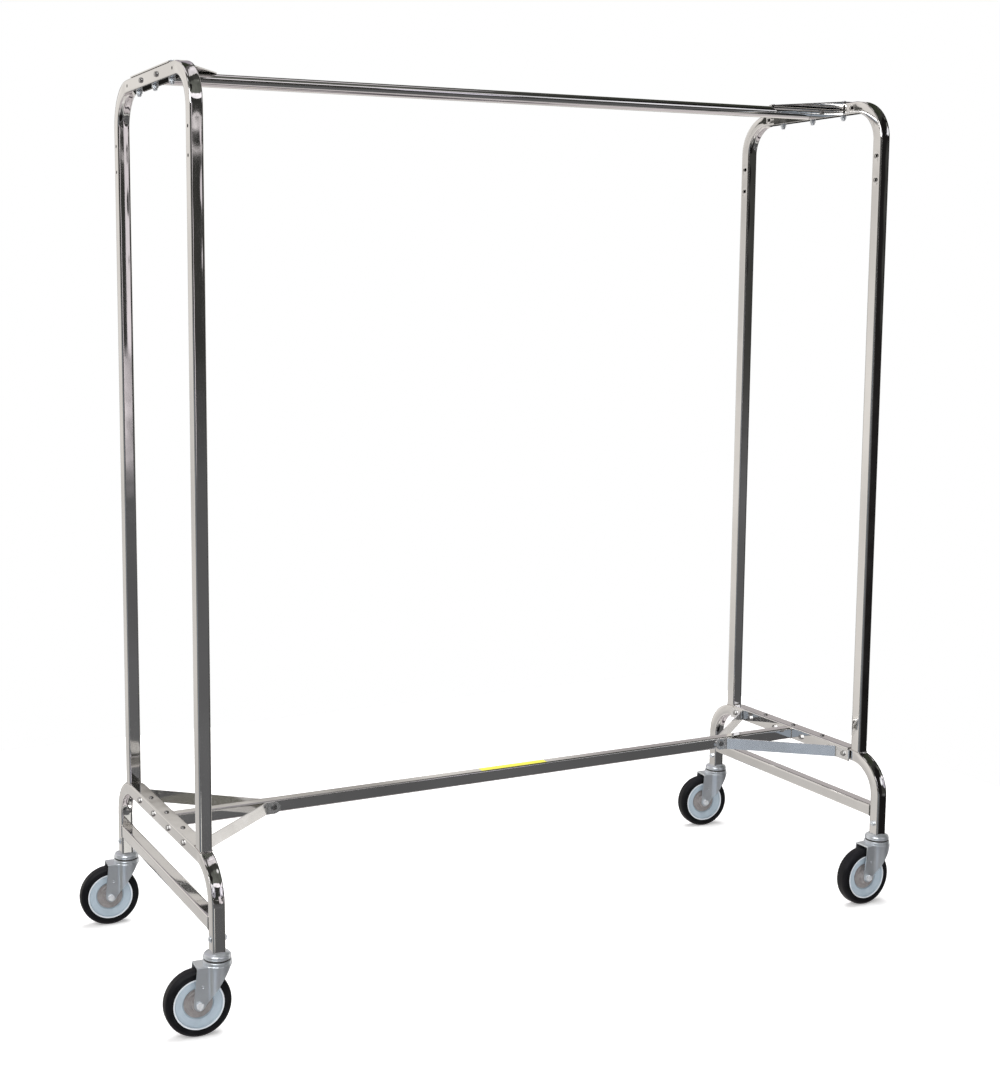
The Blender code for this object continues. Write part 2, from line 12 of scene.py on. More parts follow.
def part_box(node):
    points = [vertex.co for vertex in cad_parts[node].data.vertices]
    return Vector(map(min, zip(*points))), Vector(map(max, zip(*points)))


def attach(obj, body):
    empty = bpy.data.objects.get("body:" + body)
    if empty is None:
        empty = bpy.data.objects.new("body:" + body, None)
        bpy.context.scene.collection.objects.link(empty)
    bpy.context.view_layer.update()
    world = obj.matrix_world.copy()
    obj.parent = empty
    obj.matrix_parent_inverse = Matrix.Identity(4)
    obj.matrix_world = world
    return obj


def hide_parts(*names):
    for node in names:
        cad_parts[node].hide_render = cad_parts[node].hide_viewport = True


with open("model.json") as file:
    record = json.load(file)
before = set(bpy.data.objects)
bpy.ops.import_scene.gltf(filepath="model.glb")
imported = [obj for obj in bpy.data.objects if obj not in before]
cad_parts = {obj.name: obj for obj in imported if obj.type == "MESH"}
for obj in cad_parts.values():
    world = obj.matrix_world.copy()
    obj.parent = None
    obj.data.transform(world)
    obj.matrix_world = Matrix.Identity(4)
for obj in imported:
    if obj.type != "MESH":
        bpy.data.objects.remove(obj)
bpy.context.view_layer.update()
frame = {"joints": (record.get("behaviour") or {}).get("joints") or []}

MM = 0.001
TAU = 2 * math.pi

# ---- Positions, read off the frame ----


def middle(node):
    low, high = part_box(node)
    return (low + high) / 2


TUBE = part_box("base_crossbar")[1].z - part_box("base_crossbar")[0].z
HALF_TUBE = TUBE / 2
TUBE_WALL = 1.6 * MM
TUBE_CORNER = 3.0 * MM
BEND_RADIUS = 75.0 * MM
END_X = {end: middle(end + "_lower_rail").x for end in ("left", "right")}
FRAME_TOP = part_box("left_upper_bow")[1].z
BASE_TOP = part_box("left_base_bow")[1].z
LEG_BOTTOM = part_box("left_base_bow")[0].z
TOP_BAR_HEIGHT = FRAME_TOP - HALF_TUBE
BASE_BAR_HEIGHT = BASE_TOP - HALF_TUBE
LOWER_RAIL_HEIGHT = middle("left_lower_rail").z
LEG_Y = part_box("left_base_bow")[1].y - HALF_TUBE
UPRIGHT_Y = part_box("left_upper_bow")[1].y - HALF_TUBE
GAP = 0.3 * MM
PLATE = 2.5 * MM
INNER_FACE = HALF_TUBE + GAP
PLATE_FACE = INNER_FACE + PLATE
BAR_END = PLATE_FACE + GAP
HALF_RACK = (END_X["right"] - END_X["left"]) / 2

VERTICAL_HOLES = (-102.0 * MM, 0.0, 102.0 * MM)
BRACKET_HOLES = (-48.0 * MM, 48.0 * MM)
OUTER_HOLES = (-141.0 * MM, 141.0 * MM)
UPRIGHT_HOLES = (1591.0 * MM, 1642.0 * MM)
SMALL_BOLT = 3.0 * MM
THREAD = SMALL_BOLT - 0.1 * MM
CLEARANCE_HOLE = SMALL_BOLT + GAP
STEM_BOLT_HEIGHT = middle("front_left_stem_bolt").z
BRACE_BOLT_Y = 195.0 * MM
BRACE_BOLT_X = 222.0 * MM
RIVET_X = 113.0 * MM

END_FRAME = {
    "left": Matrix.Translation((END_X["left"], 0, 0)),
    "right": Matrix.Translation((END_X["right"], 0, 0)) @ Matrix.Rotation(math.pi, 4, "Z"),
}

# ---- Mesh tools ----

SMOOTH_ANGLE = math.radians(32)
BEVEL_ANGLE = math.radians(38)
MERGE_DISTANCE = 0.01 * MM
# The least turn, in radians, at which a corner of an outline is rounded
FLAT_TURN = 0.02


def new_object(name, data):
    made = bpy.data.objects.new(name, data)
    bpy.context.scene.collection.objects.link(made)
    return made


def finish_mesh(bm, name):
    bmesh.ops.recalc_face_normals(bm, faces=bm.faces)
    mesh = bpy.data.meshes.new(name)
    bm.to_mesh(mesh)
    bm.free()
    return mesh


def band(bm, low, high):
    """One closed strip of faces between two rings of points."""
    for i in range(len(low)):
        bm.faces.new((low[i - 1], low[i], high[i], high[i - 1]))


def skin(bm, rings):
    """Join a row of equal closed rings by bands of faces."""
    rows = [[bm.verts.new(point) for point in ring] for ring in rings]
    for low, high in zip(rows, rows[1:]):
        band(bm, low, high)
    return rows


def loft(rings, name, caps=True):
    """A closed skin over a row of rings. Without caps, the last ring meets the first."""
    bm = bmesh.new()
    rows = skin(bm, rings)
    if caps:
        bm.faces.new(rows[0])
        bm.faces.new(rows[-1])
    else:
        band(bm, rows[-1], rows[0])
    return finish_mesh(bm, name)


def turned(profile, sides, name):
    """Spin a closed outline of (radius, height) points about Z."""
    bm = bmesh.new()
    verts = [bm.verts.new((radius, 0, height)) for radius, height in profile]
    edges = []
    for i, vert in enumerate(verts):
        if profile[i - 1][0] > 0 or profile[i][0] > 0:
            edges.append(bm.edges.new((verts[i - 1], vert)))
    bmesh.ops.spin(
        bm, geom=verts + edges, axis=(0, 0, 1), cent=(0, 0, 0), angle=TAU, steps=sides
    )
    bmesh.ops.remove_doubles(bm, verts=bm.verts, dist=MERGE_DISTANCE)
    return finish_mesh(bm, name)


def lathe(outline, sides, name, radius=0, steps=4):
    """Spin an outline about Z after rounding its corners."""
    return turned(rounded(outline, radius, steps), sides, name)


LAY_DOWN = {
    "X": Matrix.Rotation(math.pi / 2, 4, "Y"),
    "Y": Matrix.Rotation(-math.pi / 2, 4, "X"),
    "Z": Matrix.Identity(4),
}


def laid(mesh, axis):
    mesh.transform(LAY_DOWN[axis])
    return mesh


def rod(centre, axis, radius, length, sides=32):
    matrix = Matrix.Translation(centre) @ LAY_DOWN[axis]
    bm = bmesh.new()
    size = {"radius1": radius, "radius2": radius, "depth": length}
    bmesh.ops.create_cone(bm, cap_ends=True, segments=sides, matrix=matrix, **size)
    return finish_mesh(bm, "rod")


def ball(centre, radius):
    bm = bmesh.new()
    bmesh.ops.create_uvsphere(
        bm, u_segments=24, v_segments=16, radius=radius, matrix=Matrix.Translation(centre)
    )
    return finish_mesh(bm, "ball")


def combine(base, tools, operation):
    """Cut, join or intersect a mesh with others by exact Booleans."""
    body = new_object("body", base)
    helpers = []
    for tool in tools:
        helpers.append(new_object("helper", tool))
        modifier = body.modifiers.new("combine", "BOOLEAN")
        modifier.operation = operation
        modifier.solver = "EXACT"
        modifier.object = helpers[-1]
    depsgraph = bpy.context.evaluated_depsgraph_get()
    mesh = bpy.data.meshes.new_from_object(body.evaluated_get(depsgraph))
    mesh.name = base.name
    for scratch in [body] + helpers:
        bpy.data.objects.remove(scratch)
    return mesh


def cut(base, tools):
    return combine(base, tools, "DIFFERENCE")


def join(base, tools):
    return combine(base, tools, "UNION")


def rounded(points, radius, steps=3):
    """A closed 2-D outline with an arc at each corner. A third number is that corner's radius."""
    result = []
    count = len(points)
    for i, point in enumerate(points):
        corner = Vector(point[:2])
        own = point[2] if len(point) > 2 else radius
        before = Vector(points[i - 1][:2]) - corner
        after = Vector(points[(i + 1) % count][:2]) - corner
        half = before.angle(after) / 2
        straight = math.pi / 2 - half < FLAT_TURN
        if own <= 0 or straight or half < FLAT_TURN:
            result.append(tuple(corner))
            continue
        setback = min(own / math.tan(half), 0.45 * before.length, 0.45 * after.length)
        own = setback * math.tan(half)
        inward = (before.normalized() + after.normalized()).normalized()
        centre = corner + inward * own / math.sin(half)
        spoke = corner + before.normalized() * setback - centre
        last = corner + after.normalized() * setback - centre
        sweep = spoke.angle_signed(last)
        for step in range(steps + 1):
            turn = -sweep * step / steps
            cos, sin = math.cos(turn), math.sin(turn)
            arm = Vector((spoke.x * cos - spoke.y * sin, spoke.x * sin + spoke.y * cos))
            result.append(tuple(centre + arm))
    return result


def flat_prism(outline, low, high, name):
    return loft([[(x, y, height) for x, y in outline] for height in (low, high)], name)


def side_prism(outline, low, high, name):
    return loft([[(x, y, z) for x, z in outline] for y in (low, high)], name)


def arc(centre, radius, start, end, segments):
    points = []
    for step in range(segments + 1):
        angle = start + (end - start) * step / segments
        points.append((centre[0] + radius * math.cos(angle), centre[1] + radius * math.sin(angle)))
    return points


# ---- Materials ----


def make_node(tree, kind, inputs=None, **settings):
    """Add a shader node; an input's value may be a number, a colour or another node's socket."""
    made = tree.nodes.new(kind)
    for key, value in settings.items():
        setattr(made, key, value)
    for key, value in (inputs or {}).items():
        if isinstance(value, bpy.types.NodeSocket):
            tree.links.new(value, made.inputs[key])
        else:
            made.inputs[key].default_value = value
    return made


def noise(tree, place, scale, detail=3.0, roughness=0.55, distortion=0.0):
    inputs = {"Vector": place, "Scale": scale, "Detail": detail}
    inputs |= {"Roughness": roughness, "Distortion": distortion}
    return make_node(tree, "ShaderNodeTexNoise", inputs).outputs["Fac"]


def spread(tree, value, low, high, start=0.3, end=0.7):
    """Map a noise value to a range of numbers."""
    inputs = {"Value": value, "From Min": start, "From Max": end, "To Min": low, "To Max": high}
    return make_node(tree, "ShaderNodeMapRange", inputs).outputs["Result"]


def blend_colours(tree, factor, *colours):
    """Mix two colours, each an RGB triple or another node's socket."""
    inputs = {0: factor}
    for index, value in zip((6, 7), colours):
        inputs[index] = value if isinstance(value, bpy.types.NodeSocket) else (*value, 1)
    return make_node(tree, "ShaderNodeMix", inputs, data_type="RGBA").outputs[2]


def bumped(tree, heights):
    """Chain bumps of (height socket, distance in metres)."""
    normal = None
    for height, distance in heights:
        inputs = {"Height": height, "Distance": distance, "Strength": 1.0}
        if normal is not None:
            inputs["Normal"] = normal
        normal = make_node(tree, "ShaderNodeBump", inputs).outputs["Normal"]
    return normal


def start_material(name, metallic, specular=0.5):
    """A new material with its node tree, its shader and the piece's own coordinates."""
    made = bpy.data.materials.new(name)
    made.use_nodes = True
    tree = made.node_tree
    shader = tree.nodes["Principled BSDF"]
    shader.inputs["Metallic"].default_value = metallic
    shader.inputs["Specular IOR Level"].default_value = specular
    place = tree.nodes.new("ShaderNodeTexCoord").outputs["Object"]
    return made, tree, shader, place


def plug(tree, shader, colour, roughness, normal):
    tree.links.new(colour, shader.inputs["Base Color"])
    tree.links.new(roughness, shader.inputs["Roughness"])
    tree.links.new(normal, shader.inputs["Normal"])


# How high a metal's fine grain stands, as a share of its long waves
GRAIN_SHARE = 0.02


def metal(name, light, dark, gloss, mottle, wave, metallic=1.0):
    """Plated steel: cloudy colour, smudged gloss, and a surface with waves so many mm high."""
    made, tree, shader, place = start_material(name, metallic)
    clouds = noise(tree, place, mottle, 4.0)
    smudge = noise(tree, place, mottle * 2.3, 3.0, 0.5, 0.4)
    grain = noise(tree, place, 900.0, 2.0)
    colour = blend_colours(tree, spread(tree, clouds, 0, 1, 0.35, 0.65), light, dark)
    long_wave = noise(tree, place, 18.0, 1.0)
    normal = bumped(tree, [(long_wave, wave * MM), (grain, wave * MM * GRAIN_SHARE)])
    plug(tree, shader, colour, spread(tree, smudge, *gloss), normal)
    return made


def coated(
    name, light, dark, gloss, pattern, grain,
    swell=0.0, metallic=0.0, specular=0.5, edges=(0.3, 0.7),
):
    """One soft pattern sets the colour and the gloss, over a finer grain (scale, detail, mm)."""
    made, tree, shader, place = start_material(name, metallic, specular)
    cloud = noise(tree, place, *pattern)
    scale, detail, depth = grain
    bumps = [(noise(tree, place, scale, detail), depth * MM)]
    if swell:
        bumps.insert(0, (cloud, swell * MM))
    colour = blend_colours(tree, spread(tree, cloud, 0, 1, *edges), light, dark)
    plug(tree, shader, colour, spread(tree, cloud, *gloss), bumped(tree, bumps))
    return made


CHROME = metal("chrome", (0.87, 0.86, 0.85), (0.81, 0.80, 0.785), (0.03, 0.07), 7.0, 0.16)
ZINC = metal("zinc", (0.82, 0.86, 0.90), (0.71, 0.75, 0.79), (0.28, 0.33), 14.0, 0.03, 0.80)
# A paler, less metallic copy of the zinc for the axle bolts and nuts: a painted highlight that
# makes them read bright white
ZINC_PAINTED_HIGHLIGHT = metal(
    "bright_zinc", (0.90, 0.92, 0.94), (0.80, 0.83, 0.86), (0.28, 0.34), 30.0, 0.03, 0.40
)
# The braces' softer plating, which the strip's rolling lines dull a little
SATIN = metal("satin", (0.82, 0.82, 0.82), (0.74, 0.735, 0.725), (0.10, 0.16), 12.0, 0.05, 0.88)
# The plating of the small screws and bolts
NICKEL = metal("nickel", (0.50, 0.50, 0.50), (0.38, 0.375, 0.37), (0.20, 0.30), 30.0, 0.03)
STEEL = metal("steel", (0.60, 0.60, 0.60), (0.46, 0.455, 0.445), (0.20, 0.32), 24.0, 0.04, 0.9)
# Near-black for the ring in the gap between the races: painted shade where the cup's lip shades the
# gap.
RACE_GAP_SHADE = coated(
    "race_gap_shade", (0.03, 0.03, 0.032), (0.07, 0.066, 0.06), (0.4, 0.62), (140.0, 4.0), (700.0, 3.0, 0.05)
)
WELD = coated(
    "weld", (0.86, 0.84, 0.82), (0.74, 0.71, 0.66), (0.10, 0.22), (90.0, 3.0), (420.0, 3.0, 0.06),
    metallic=1.0,
)
RUBBER = coated(
    "rubber", (0.0034, 0.0036, 0.0052), (0.011, 0.011, 0.014), (0.38, 0.62), (55.0, 6.0, 0.65),
    (1400.0, 2.0, 0.03), 0.12, specular=0.3, edges=(0.45, 0.75),
)
# Moulded plastic has faint flow marks and a fine matt grain
MOULDED = {"gloss": (0.30, 0.46), "pattern": (30.0, 4.0, 0.5, 1.2), "grain": (900.0, 2.0, 0.02)}
PLASTIC = coated("core_plastic", (0.46, 0.55, 0.62), (0.39, 0.47, 0.54), swell=0.05, **MOULDED)
# A lighter copy of the core plastic for the rim lip: a painted highlight, as the lip is the same
# plastic as the core.
LIP_PAINTED_HIGHLIGHT = coated("lip_painted_highlight", (0.74, 0.78, 0.82), (0.64, 0.69, 0.74), swell=0.05, **MOULDED)
# A dark brownish colour for the hub plates, which sit deep in the wheel's recess, darker than the
# core round them
HUB_PLATE = metal(
    "hub_plate", (0.40, 0.375, 0.37), (0.29, 0.27, 0.265), (0.34, 0.5), 80.0, 0.05, 0.3
)
LABEL = coated(
    "label_film", (0.82, 0.76, 0.07), (0.74, 0.68, 0.08), (0.35, 0.5), (60.0, 5.0),
    (1200.0, 2.0, 0.02),
)

# ---- Placing pieces ----


def add(name, mesh, finish, slot, body="frame", matrix=None, replaces=(), bevel=0.0, segments=2):
    """Put one piece in the scene, riding on a body."""
    matrix = matrix or Matrix.Identity(4)
    mesh = mesh.copy()
    mesh.transform(matrix.to_3x3().to_4x4())
    piece = new_object(name, mesh)
    for own in finish if isinstance(finish, tuple) else (finish,):
        mesh.materials.append(own)
    mesh.shade_smooth()
    mesh.set_sharp_from_angle(angle=SMOOTH_ANGLE)
    if bevel:
        rounding = piece.modifiers.new("rounding", "BEVEL")
        rounding.width = bevel
        rounding.segments = segments
        rounding.limit_method = "ANGLE"
        rounding.angle_limit = BEVEL_ANGLE
        rounding.harden_normals = True
    shading = piece.modifiers.new("shading", "WEIGHTED_NORMAL")
    shading.keep_sharp = True
    piece.location = matrix.to_translation()
    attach(piece, body)
    if replaces:
        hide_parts(*replaces)
    return piece


# ---- Tubes ----


def tube_section(side, corner, face_steps=10, corner_steps=4):
    """Points of a square with round corners and divided sides, about its centre."""
    reach = side / 2 - corner
    points = []
    for quarter in range(4):
        start = quarter * math.pi / 2
        turn = Matrix.Rotation(start, 2)
        for step in range(corner_steps + 1):
            angle = step * math.pi / 2 / corner_steps
            local = Vector((reach + corner * math.cos(angle), reach + corner * math.sin(angle)))
            points.append(tuple(turn @ local))
        for step in range(1, face_steps):
            local = Vector((reach - 2 * reach * step / face_steps, side / 2))
            points.append(tuple(turn @ local))
    return points


OUTER_SECTION = tube_section(TUBE, TUBE_CORNER)
BORE_SECTION = tube_section(TUBE - 2 * TUBE_WALL, 1.4 * MM)


def hollow(outer, inner, name):
    """A tube from rows of equal outer and inner rings, open at both ends."""
    bm = bmesh.new()
    rows = skin(bm, outer)
    bores = skin(bm, inner)
    for end in (0, -1):
        band(bm, rows[end], bores[end])
    return finish_mesh(bm, name)


BEND_STEPS = 30
SETTLE = 0.25
SINK = 1.5 * MM
SINK_RIPPLE = 0.10
GROOVE = 3.0 * MM
GROOVE_RIPPLE = 0.12
RIPPLES = 2.5
RIDGE = 0.07 * MM
RIDGE_WAVES = 2.3
BULGE = 0.03
HOLLOW_REACH = 460 * MM
HOLLOW_STEP = 20 * MM
HOLLOW_START = 40 * MM
HOLLOW_DEPTH = 0.34 * MM
HOLLOW_WAVES = ((0.14 * MM, 118 * MM), (0.06 * MM, 47 * MM))


def drawn_in(section, outer_depth, inner_depth, ridge=0.0, bulge=0.0):
    """A section whose outer face sinks, whose inner face is grooved and whose sides bulge."""
    points = []
    for u, v in section:
        reach = max(abs(u), abs(v))
        across = u / reach
        if v > 0:
            fall = outer_depth + ridge * math.cos(TAU * RIDGE_WAVES * across)
            new_v = v - fall * (1 - across**2)
        else:
            new_v = v + inner_depth * (0.5 + 0.5 * math.cos(math.pi * across))
        points.append((u * (1 + bulge * (1 - (v / reach) ** 2)), new_v))
    return points


def bend_section(section, along):
    """The section part way round a bend."""
    rise = min(1.0, along / SETTLE, (1 - along) / SETTLE)
    amount = rise * rise * (3 - 2 * rise)
    wave = math.sin(TAU * RIPPLES * along)
    sink = SINK * amount * (1 + SINK_RIPPLE * wave)
    groove = GROOVE * amount * (1 + GROOVE_RIPPLE * wave)
    return drawn_in(section, sink, groove, RIDGE * amount, BULGE * amount)


def upright_section(section, below):
    """The section some way below a bend, where rolling leaves the faces slightly hollow."""
    fade = max(0.0, 1 - below / HOLLOW_REACH)
    rise = min(1.0, below / HOLLOW_START)
    swell = HOLLOW_DEPTH
    for height, length in HOLLOW_WAVES:
        swell += height * math.sin(TAU * below / length)
    depth = rise * fade**0.5 * swell
    return drawn_in(section, depth, depth)


def bow_rings(section, half_width, bar_height, foot, hollow_uprights=False):
    """The section set along an inverted U, from one foot to the other."""
    bend_low = bar_height - BEND_RADIUS
    drops = []
    if hollow_uprights:
        drops = [HOLLOW_STEP * (step + 1) for step in range(int(HOLLOW_REACH / HOLLOW_STEP))]
    legs = {}
    for side in (-1, 1):
        angle = math.pi if side < 0 else 0.0
        leg = [(bend_low - drop, upright_section(section, drop)) for drop in drops]
        leg.append((foot, section))
        legs[side] = [(side * half_width, z, angle, shaped) for z, shaped in leg]
    stations = list(reversed(legs[-1]))
    for side in (-1, 1):
        centre_y = side * (half_width - BEND_RADIUS)
        for step in range(BEND_STEPS + 1):
            along = step / BEND_STEPS
            swept = along * math.pi / 2
            angle = math.pi - swept if side < 0 else math.pi / 2 - swept
            y = centre_y + BEND_RADIUS * math.cos(angle)
            z = bend_low + BEND_RADIUS * math.sin(angle)
            stations.append((y, z, angle, bend_section(section, along)))
    stations += legs[1]
    rings = []
    for y, z, angle, shaped in stations:
        rings.append([(u, y + v * math.cos(angle), z + v * math.sin(angle)) for u, v in shaped])
    return rings


def base_bow_surface(y):
    """The height of the base bow's top over a given Y."""
    past = abs(y) - (LEG_Y - BEND_RADIUS)
    outer = BEND_RADIUS + HALF_TUBE
    if past <= 0:
        return BASE_TOP
    return BASE_BAR_HEIGHT - BEND_RADIUS + math.sqrt(outer * outer - past * past)


def coped(rings):
    """Shape both feet of the upper bow to the base bow that they stand on."""
    for end in (0, -1):
        rings[end] = [(x, y, base_bow_surface(y) + GAP / 2) for x, y, z in rings[end]]
    return rings


def dent(y, z):
    """A shallow dish round a punched hole in the inner face."""
    outline = [
        (0, -2.2 * MM),
        (3.4 * MM, -1.9 * MM),
        (5.0 * MM, -1.1 * MM),
        (6.4 * MM, -0.4 * MM),
        (8.0 * MM, 0.02 * MM),
        (8.0 * MM, 2 * MM),
        (0, 2 * MM),
    ]
    mesh = laid(turned(outline, 32, "dent"), "X")
    mesh.transform(Matrix.Translation((HALF_TUBE, y, z)))
    return mesh


def upper_bow():
    outer = coped(bow_rings(OUTER_SECTION, UPRIGHT_Y, TOP_BAR_HEIGHT, BASE_TOP, True))
    inner = coped(bow_rings(BORE_SECTION, UPRIGHT_Y, TOP_BAR_HEIGHT, BASE_TOP, True))
    mesh = hollow(outer, inner, "upper_bow")
    holes = [rod((0, y, TOP_BAR_HEIGHT), "Z", CLEARANCE_HOLE, 2 * TUBE) for y in VERTICAL_HOLES]
    for y in BRACKET_HOLES + OUTER_HOLES:
        holes.append(rod((0, y, TOP_BAR_HEIGHT), "X", CLEARANCE_HOLE, 2 * TUBE))
    dents = [dent(y, TOP_BAR_HEIGHT) for y in OUTER_HOLES]
    for y in (-UPRIGHT_Y, UPRIGHT_Y):
        for z in UPRIGHT_HOLES:
            holes.append(rod((0, y, z), "X", CLEARANCE_HOLE, 2 * TUBE))
            dents.append(dent(y, z))
    return cut(mesh, dents + holes)


def base_bow():
    outer = bow_rings(OUTER_SECTION, LEG_Y, BASE_BAR_HEIGHT, LEG_BOTTOM)
    inner = bow_rings(BORE_SECTION, LEG_Y, BASE_BAR_HEIGHT, LEG_BOTTOM)
    mesh = hollow(outer, inner, "base_bow")
    holes = [rod((0, y, BASE_TOP), "Z", CLEARANCE_HOLE, TUBE) for y in VERTICAL_HOLES]
    for y in BRACKET_HOLES + OUTER_HOLES:
        holes.append(rod((0, y, BASE_BAR_HEIGHT), "X", CLEARANCE_HOLE, 2 * TUBE))
    for y in (-LEG_Y, LEG_Y):
        holes.append(rod((0, y, STEM_BOLT_HEIGHT), "X", CLEARANCE_HOLE, 2 * TUBE))
    return cut(mesh, holes)


def straight_tube(reach, axis, height, name):
    rows = []
    for section in (OUTER_SECTION, BORE_SECTION):
        rings = []
        for at in (-reach, 0.0, reach):
            if axis == "X":
                rings.append([(at, u, height + v) for u, v in section])
            else:
                rings.append([(u, at, height + v) for u, v in section])
        rows.append(rings)
    return hollow(rows[0], rows[1], name)


def base_crossbar():
    mesh = straight_tube(HALF_RACK - BAR_END, "X", BASE_BAR_HEIGHT, "base_crossbar")
    bolt_x = HALF_RACK - BRACE_BOLT_X
    holes = [rod((x, 0, BASE_BAR_HEIGHT), "Y", CLEARANCE_HOLE, 2 * TUBE) for x in (-bolt_x, bolt_x)]
    return cut(mesh, holes)


def hang_rail():
    reach = HALF_RACK - BAR_END
    bore = HALF_TUBE - TUBE_WALL
    outline = [(bore, -reach), (HALF_TUBE, -reach), (HALF_TUBE, reach), (bore, reach)]
    mesh = laid(lathe(outline, 64, "hang_rail", 0.4 * MM, 3), "X")
    mesh.transform(Matrix.Translation((0, 0, TOP_BAR_HEIGHT)))
    return mesh


# ---- Plates ----


def angle_profile(top, depth):
    """A bent plate seen from its end: a top flange over the bar and a leg down its inner face."""
    outer_edge = -HALF_TUBE + GAP
    outline = [
        (outer_edge, top, 0.4 * MM),
        (INNER_FACE, top, 0.8 * MM),
        (INNER_FACE, top - depth, 0.4 * MM),
        (PLATE_FACE, top - depth, 0.4 * MM),
        (PLATE_FACE, top + PLATE, 3.0 * MM),
        (outer_edge, top + PLATE, 0.4 * MM),
    ]
    return rounded(outline, 0, 5)


def rail_bracket():
    half_length = 121 * MM
    apex = 122 * MM
    nose = 9 * MM
    top = FRAME_TOP + GAP
    outer_edge = -HALF_TUBE + GAP
    outline = [(outer_edge, -half_length, 3 * MM), (PLATE_FACE, -half_length, 4 * MM)]
    for x, y in arc((apex - nose, 0), nose, -math.pi / 3, math.pi / 3, 16):
        outline.append((x, y, 0))
    outline += [(PLATE_FACE, half_length, 4 * MM), (outer_edge, half_length, 3 * MM)]
    flange = flat_prism(rounded(outline, 0, 5), top, top + PLATE, "rail_bracket")
    leg_top = top + PLATE / 2
    leg_outline = [(INNER_FACE, -half_length + 3 * MM), (PLATE_FACE, -half_length + 3 * MM)]
    leg_outline += [(PLATE_FACE, half_length - 3 * MM), (INNER_FACE, half_length - 3 * MM)]
    leg = flat_prism(leg_outline, top - TUBE, leg_top, "leg")
    tools = [rod((0, y, top), "Z", CLEARANCE_HOLE, TUBE) for y in VERTICAL_HOLES]
    for y in BRACKET_HOLES:
        tools.append(rod((PLATE_FACE, y, TOP_BAR_HEIGHT), "X", CLEARANCE_HOLE, TUBE))
    tools.append(rod((RIVET_X, 0, top), "Z", 2.4 * MM, TUBE))
    return cut(join(flange, [leg]), tools)


def base_angle():
    half_length = 205 * MM
    top = BASE_TOP + GAP
    mesh = side_prism(angle_profile(top, TUBE), -half_length, half_length, "base_angle")
    tools = [rod((0, y, top), "Z", CLEARANCE_HOLE, TUBE) for y in VERTICAL_HOLES]
    for y in BRACKET_HOLES + OUTER_HOLES + (-BRACE_BOLT_Y, BRACE_BOLT_Y):
        tools.append(rod((PLATE_FACE, y, BASE_BAR_HEIGHT), "X", CLEARANCE_HOLE, 2 * PLATE + GAP))
    return cut(mesh, tools)


def filleted(points, radius, segments):
    """An open 2-D path with an arc in place of each inner corner."""
    path = [Vector(points[0])]
    for before, corner, after in zip(points, points[1:], points[2:]):
        corner = Vector(corner)
        arriving = (corner - Vector(before)).normalized()
        leaving = (Vector(after) - corner).normalized()
        turn = arriving.angle_signed(leaving)
        setback = radius * math.tan(abs(turn) / 2)
        side = -1 if turn > 0 else 1
        start = corner - arriving * setback
        normal = Vector((-arriving.y, arriving.x)) * side
        centre = start + normal * radius
        for step in range(segments + 1):
            spoke = start - centre
            spoke.rotate(Matrix.Rotation(side * abs(turn) * step / segments, 2))
            path.append(centre + spoke)
    path.append(Vector(points[-1]))
    return path


def brace(side):
    """A flat bar on edge, with a round tab on the crossbar and a square tab on the base angle."""
    thickness = 3 * MM
    half_height = 12.5 * MM
    height = BASE_BAR_HEIGHT - 1.5 * MM
    tab_end, tab_bend = 236 * MM, 206 * MM
    foot_end, foot_bend = 212 * MM, 171 * MM
    on_crossbar = side * (HALF_TUBE + GAP + thickness / 2)
    on_angle = BAR_END + thickness / 2
    corners = [
        (tab_end, on_crossbar),
        (tab_bend, on_crossbar),
        (on_angle, side * foot_bend),
        (on_angle, side * foot_end),
    ]
    stations = []
    round_steps = 12
    for step in range(1, round_steps + 1):
        angle = step / round_steps * math.pi / 2
        x = tab_end - half_height + half_height * math.cos(angle)
        stations.append((Vector((x, on_crossbar)), half_height * math.sin(angle)))
    stations += [(point, half_height) for point in filleted(corners, 7 * MM, 8)[1:]]
    rings = []
    for i, (point, reach) in enumerate(stations):
        before = stations[max(i - 1, 0)][0]
        after = stations[min(i + 1, len(stations) - 1)][0]
        along = (after - before).normalized()
        across = Vector((-along.y, along.x)) * thickness / 2
        section = ((1, -reach), (-1, -reach), (-1, reach), (1, reach))
        spots = [(point + across * face, rise) for face, rise in section]
        rings.append([(spot.x, spot.y, height + rise) for spot, rise in spots])
    bar = loft(rings, "brace")
    holes = [
        rod((BRACE_BOLT_X, on_crossbar, BASE_BAR_HEIGHT), "Y", CLEARANCE_HOLE, TUBE),
        rod((on_angle, side * BRACE_BOLT_Y, BASE_BAR_HEIGHT), "X", CLEARANCE_HOLE, TUBE),
    ]
    return cut(bar, holes)


# ---- Fasteners, each along Z with its head's seat at zero and its shank going down ----


def hexagon(width, low, high, name="hexagon"):
    """A hexagonal prism whose corners are chamfered at both ends."""
    height = high - low
    corner = width / math.sqrt(3)
    prism = rod((0, 0, (low + high) / 2), "Z", corner, height, 6)
    chamfer = corner - width / 2 + 0.25 * MM
    slope = 0.58
    drop = chamfer * slope
    reach = corner + 0.05 * MM
    outline = [(0, low), (corner - chamfer, low), (reach, low + drop)]
    outline += [(reach, high - drop), (corner - chamfer, high), (0, high)]
    barrel = turned(outline, 36, "barrel")
    prism.name = name
    return combine(prism, [barrel], "INTERSECT")


def washer(low, high, radius):
    outline = [(0, low), (radius, low), (radius, high), (0, high)]
    return lathe(outline, 36, "washer", 0.3 * MM, 3)


def shank(low, high, radius=SMALL_BOLT):
    edge = 0.5 * MM
    outline = [(0, low), (radius - edge, low), (radius, low + edge), (radius, high), (0, high)]
    return turned(outline, 24, "shank")


